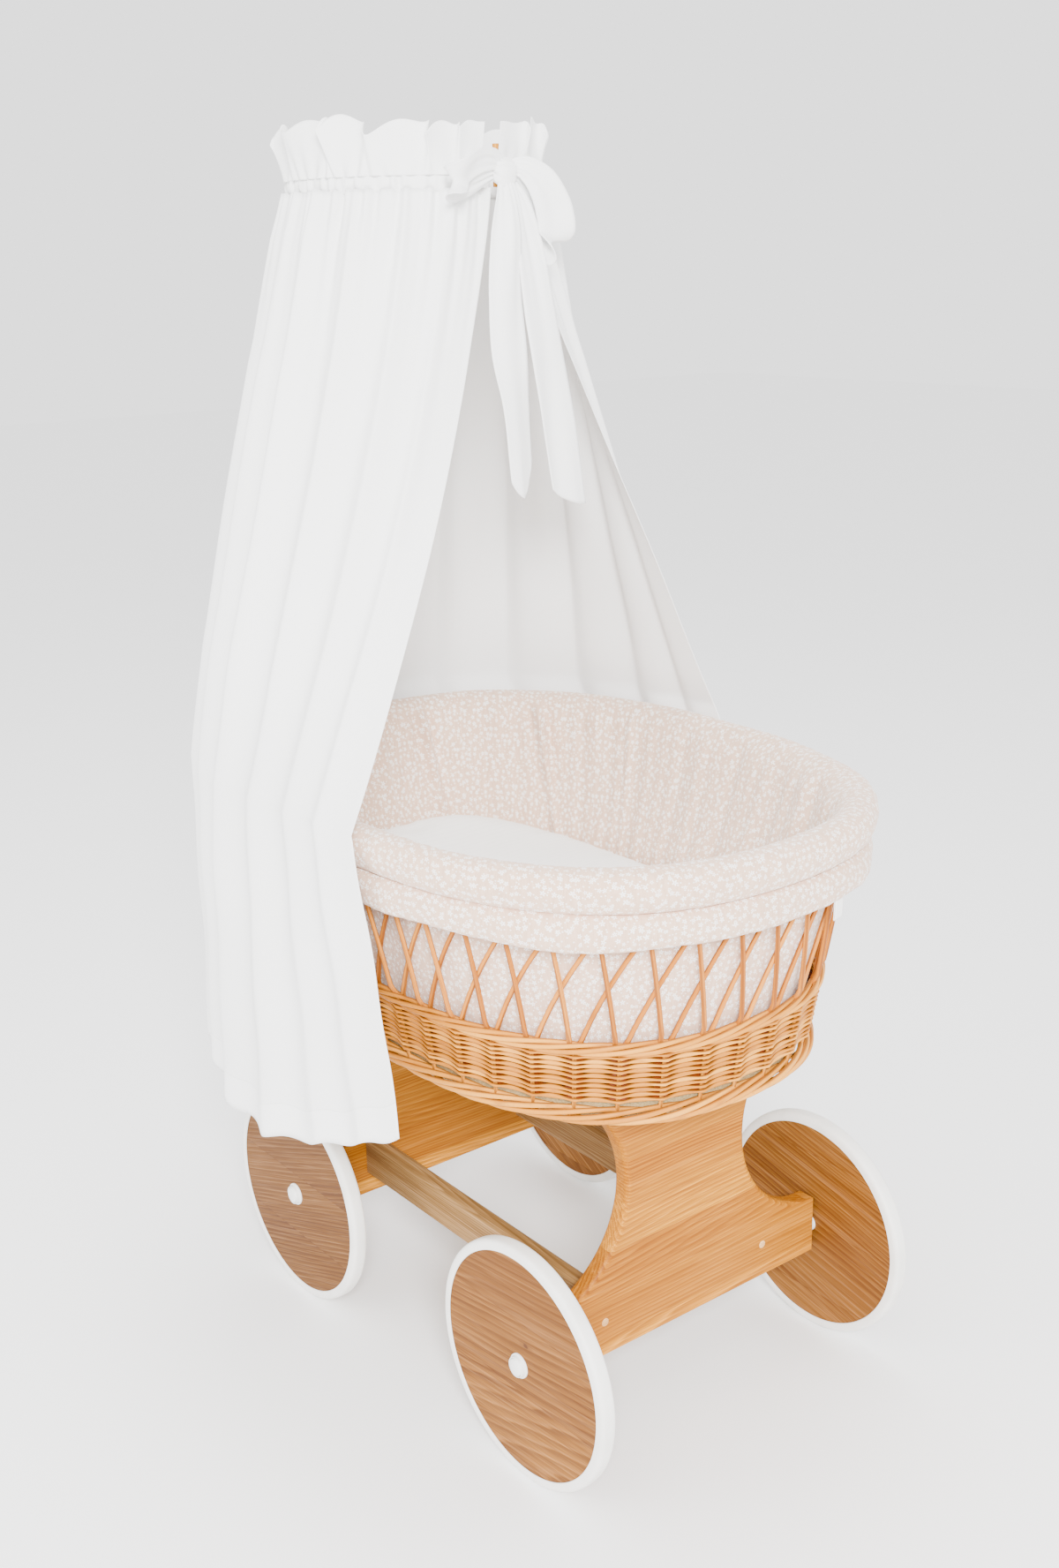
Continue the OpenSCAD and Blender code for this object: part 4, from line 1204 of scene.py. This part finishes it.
b = Build()
strip(b, [(-66, 3, 1466), (-58, 0, 1442), (-52, -4, 1402), (-50, -8, 1340), (-50, -5, 1270), (-48, 3, 1200),
          (-46, 8, 1116)], [12, 24, 38, 46, 49, 50, 44],
      [(0.25, 1, 0)] * 3 + [(0.1, 1, 0)] * 2 + [(-0.35, 1, 0)] * 2, 90,
      cup=2.5, ripple=1.6, seed=5, cut=-20, point=30)
strip(b, [(-64, 12, 1464), (-54, 20, 1436), (-50, 29, 1384), (-48, 41, 1312), (-46, 53, 1242), (-44, 65, 1174),
          (-43, 77, 1106)], [12, 24, 39, 50, 55, 56, 52],
      [(-0.1, 1, 0.1)] * 7, 90, cup=-2.0, ripple=1.6, seed=6, cut=32, point=6, origin=0.5)
tails = b.object("ribbon_tails", ribbon_cloth, "canopy", replaces=["bow_tails"], solid=False)
solidify(tails, 0.9)

b = Build()
a = np.linspace(-PI, PI, 48, endpoint=False)[:, None]
q = np.linspace(-PI / 2, PI / 2, 25)[None, :]
pleats = 1 + 0.07 * np.sin(a * 5 + 1) + 0.05 * np.sin(a * 9 + 3 * q)
ring_r = np.cos(q) ** 0.6 * pleats
points = np.stack([-66 + 11 * ring_r * np.cos(a), 6 + 14.5 * np.sin(q) * (1 + 0.06 * np.sin(3 * a)) + 0 * a,
                   1469 + 15 * ring_r * np.sin(a)], -1)
b.grid(points, np.stack(np.broadcast_arrays(a * 0.013, q * 0.012), -1), True, False)
knot = b.object("ribbon_knot", ribbon_cloth, "canopy", replaces=["bow_knot"], solid=False)
solidify(knot, 0.8, -1)


# ---------------------------------------------------------------- CAD nodes that stay

looks = {"rail_dowels": wood_plug, "rail_screws": steel, "basket_screws": steel, "axle_bolts": steel,
         "axle_spacers": white_plastic, "basket_base": raw_board, "basket_rim": willow_rods,
         "pole_bracket": white_plastic, "bracket_plate": grey_plastic, "bracket_bolts": steel,
         "canopy_pole": wood_pole, "hoop_connector": wood_pole, "canopy_hoop": wood_pole}
for corner in CORNERS:
    looks["bush_" + corner] = grey_plastic
for node, look in looks.items():
    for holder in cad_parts[node].material_slots:
        holder.material = look
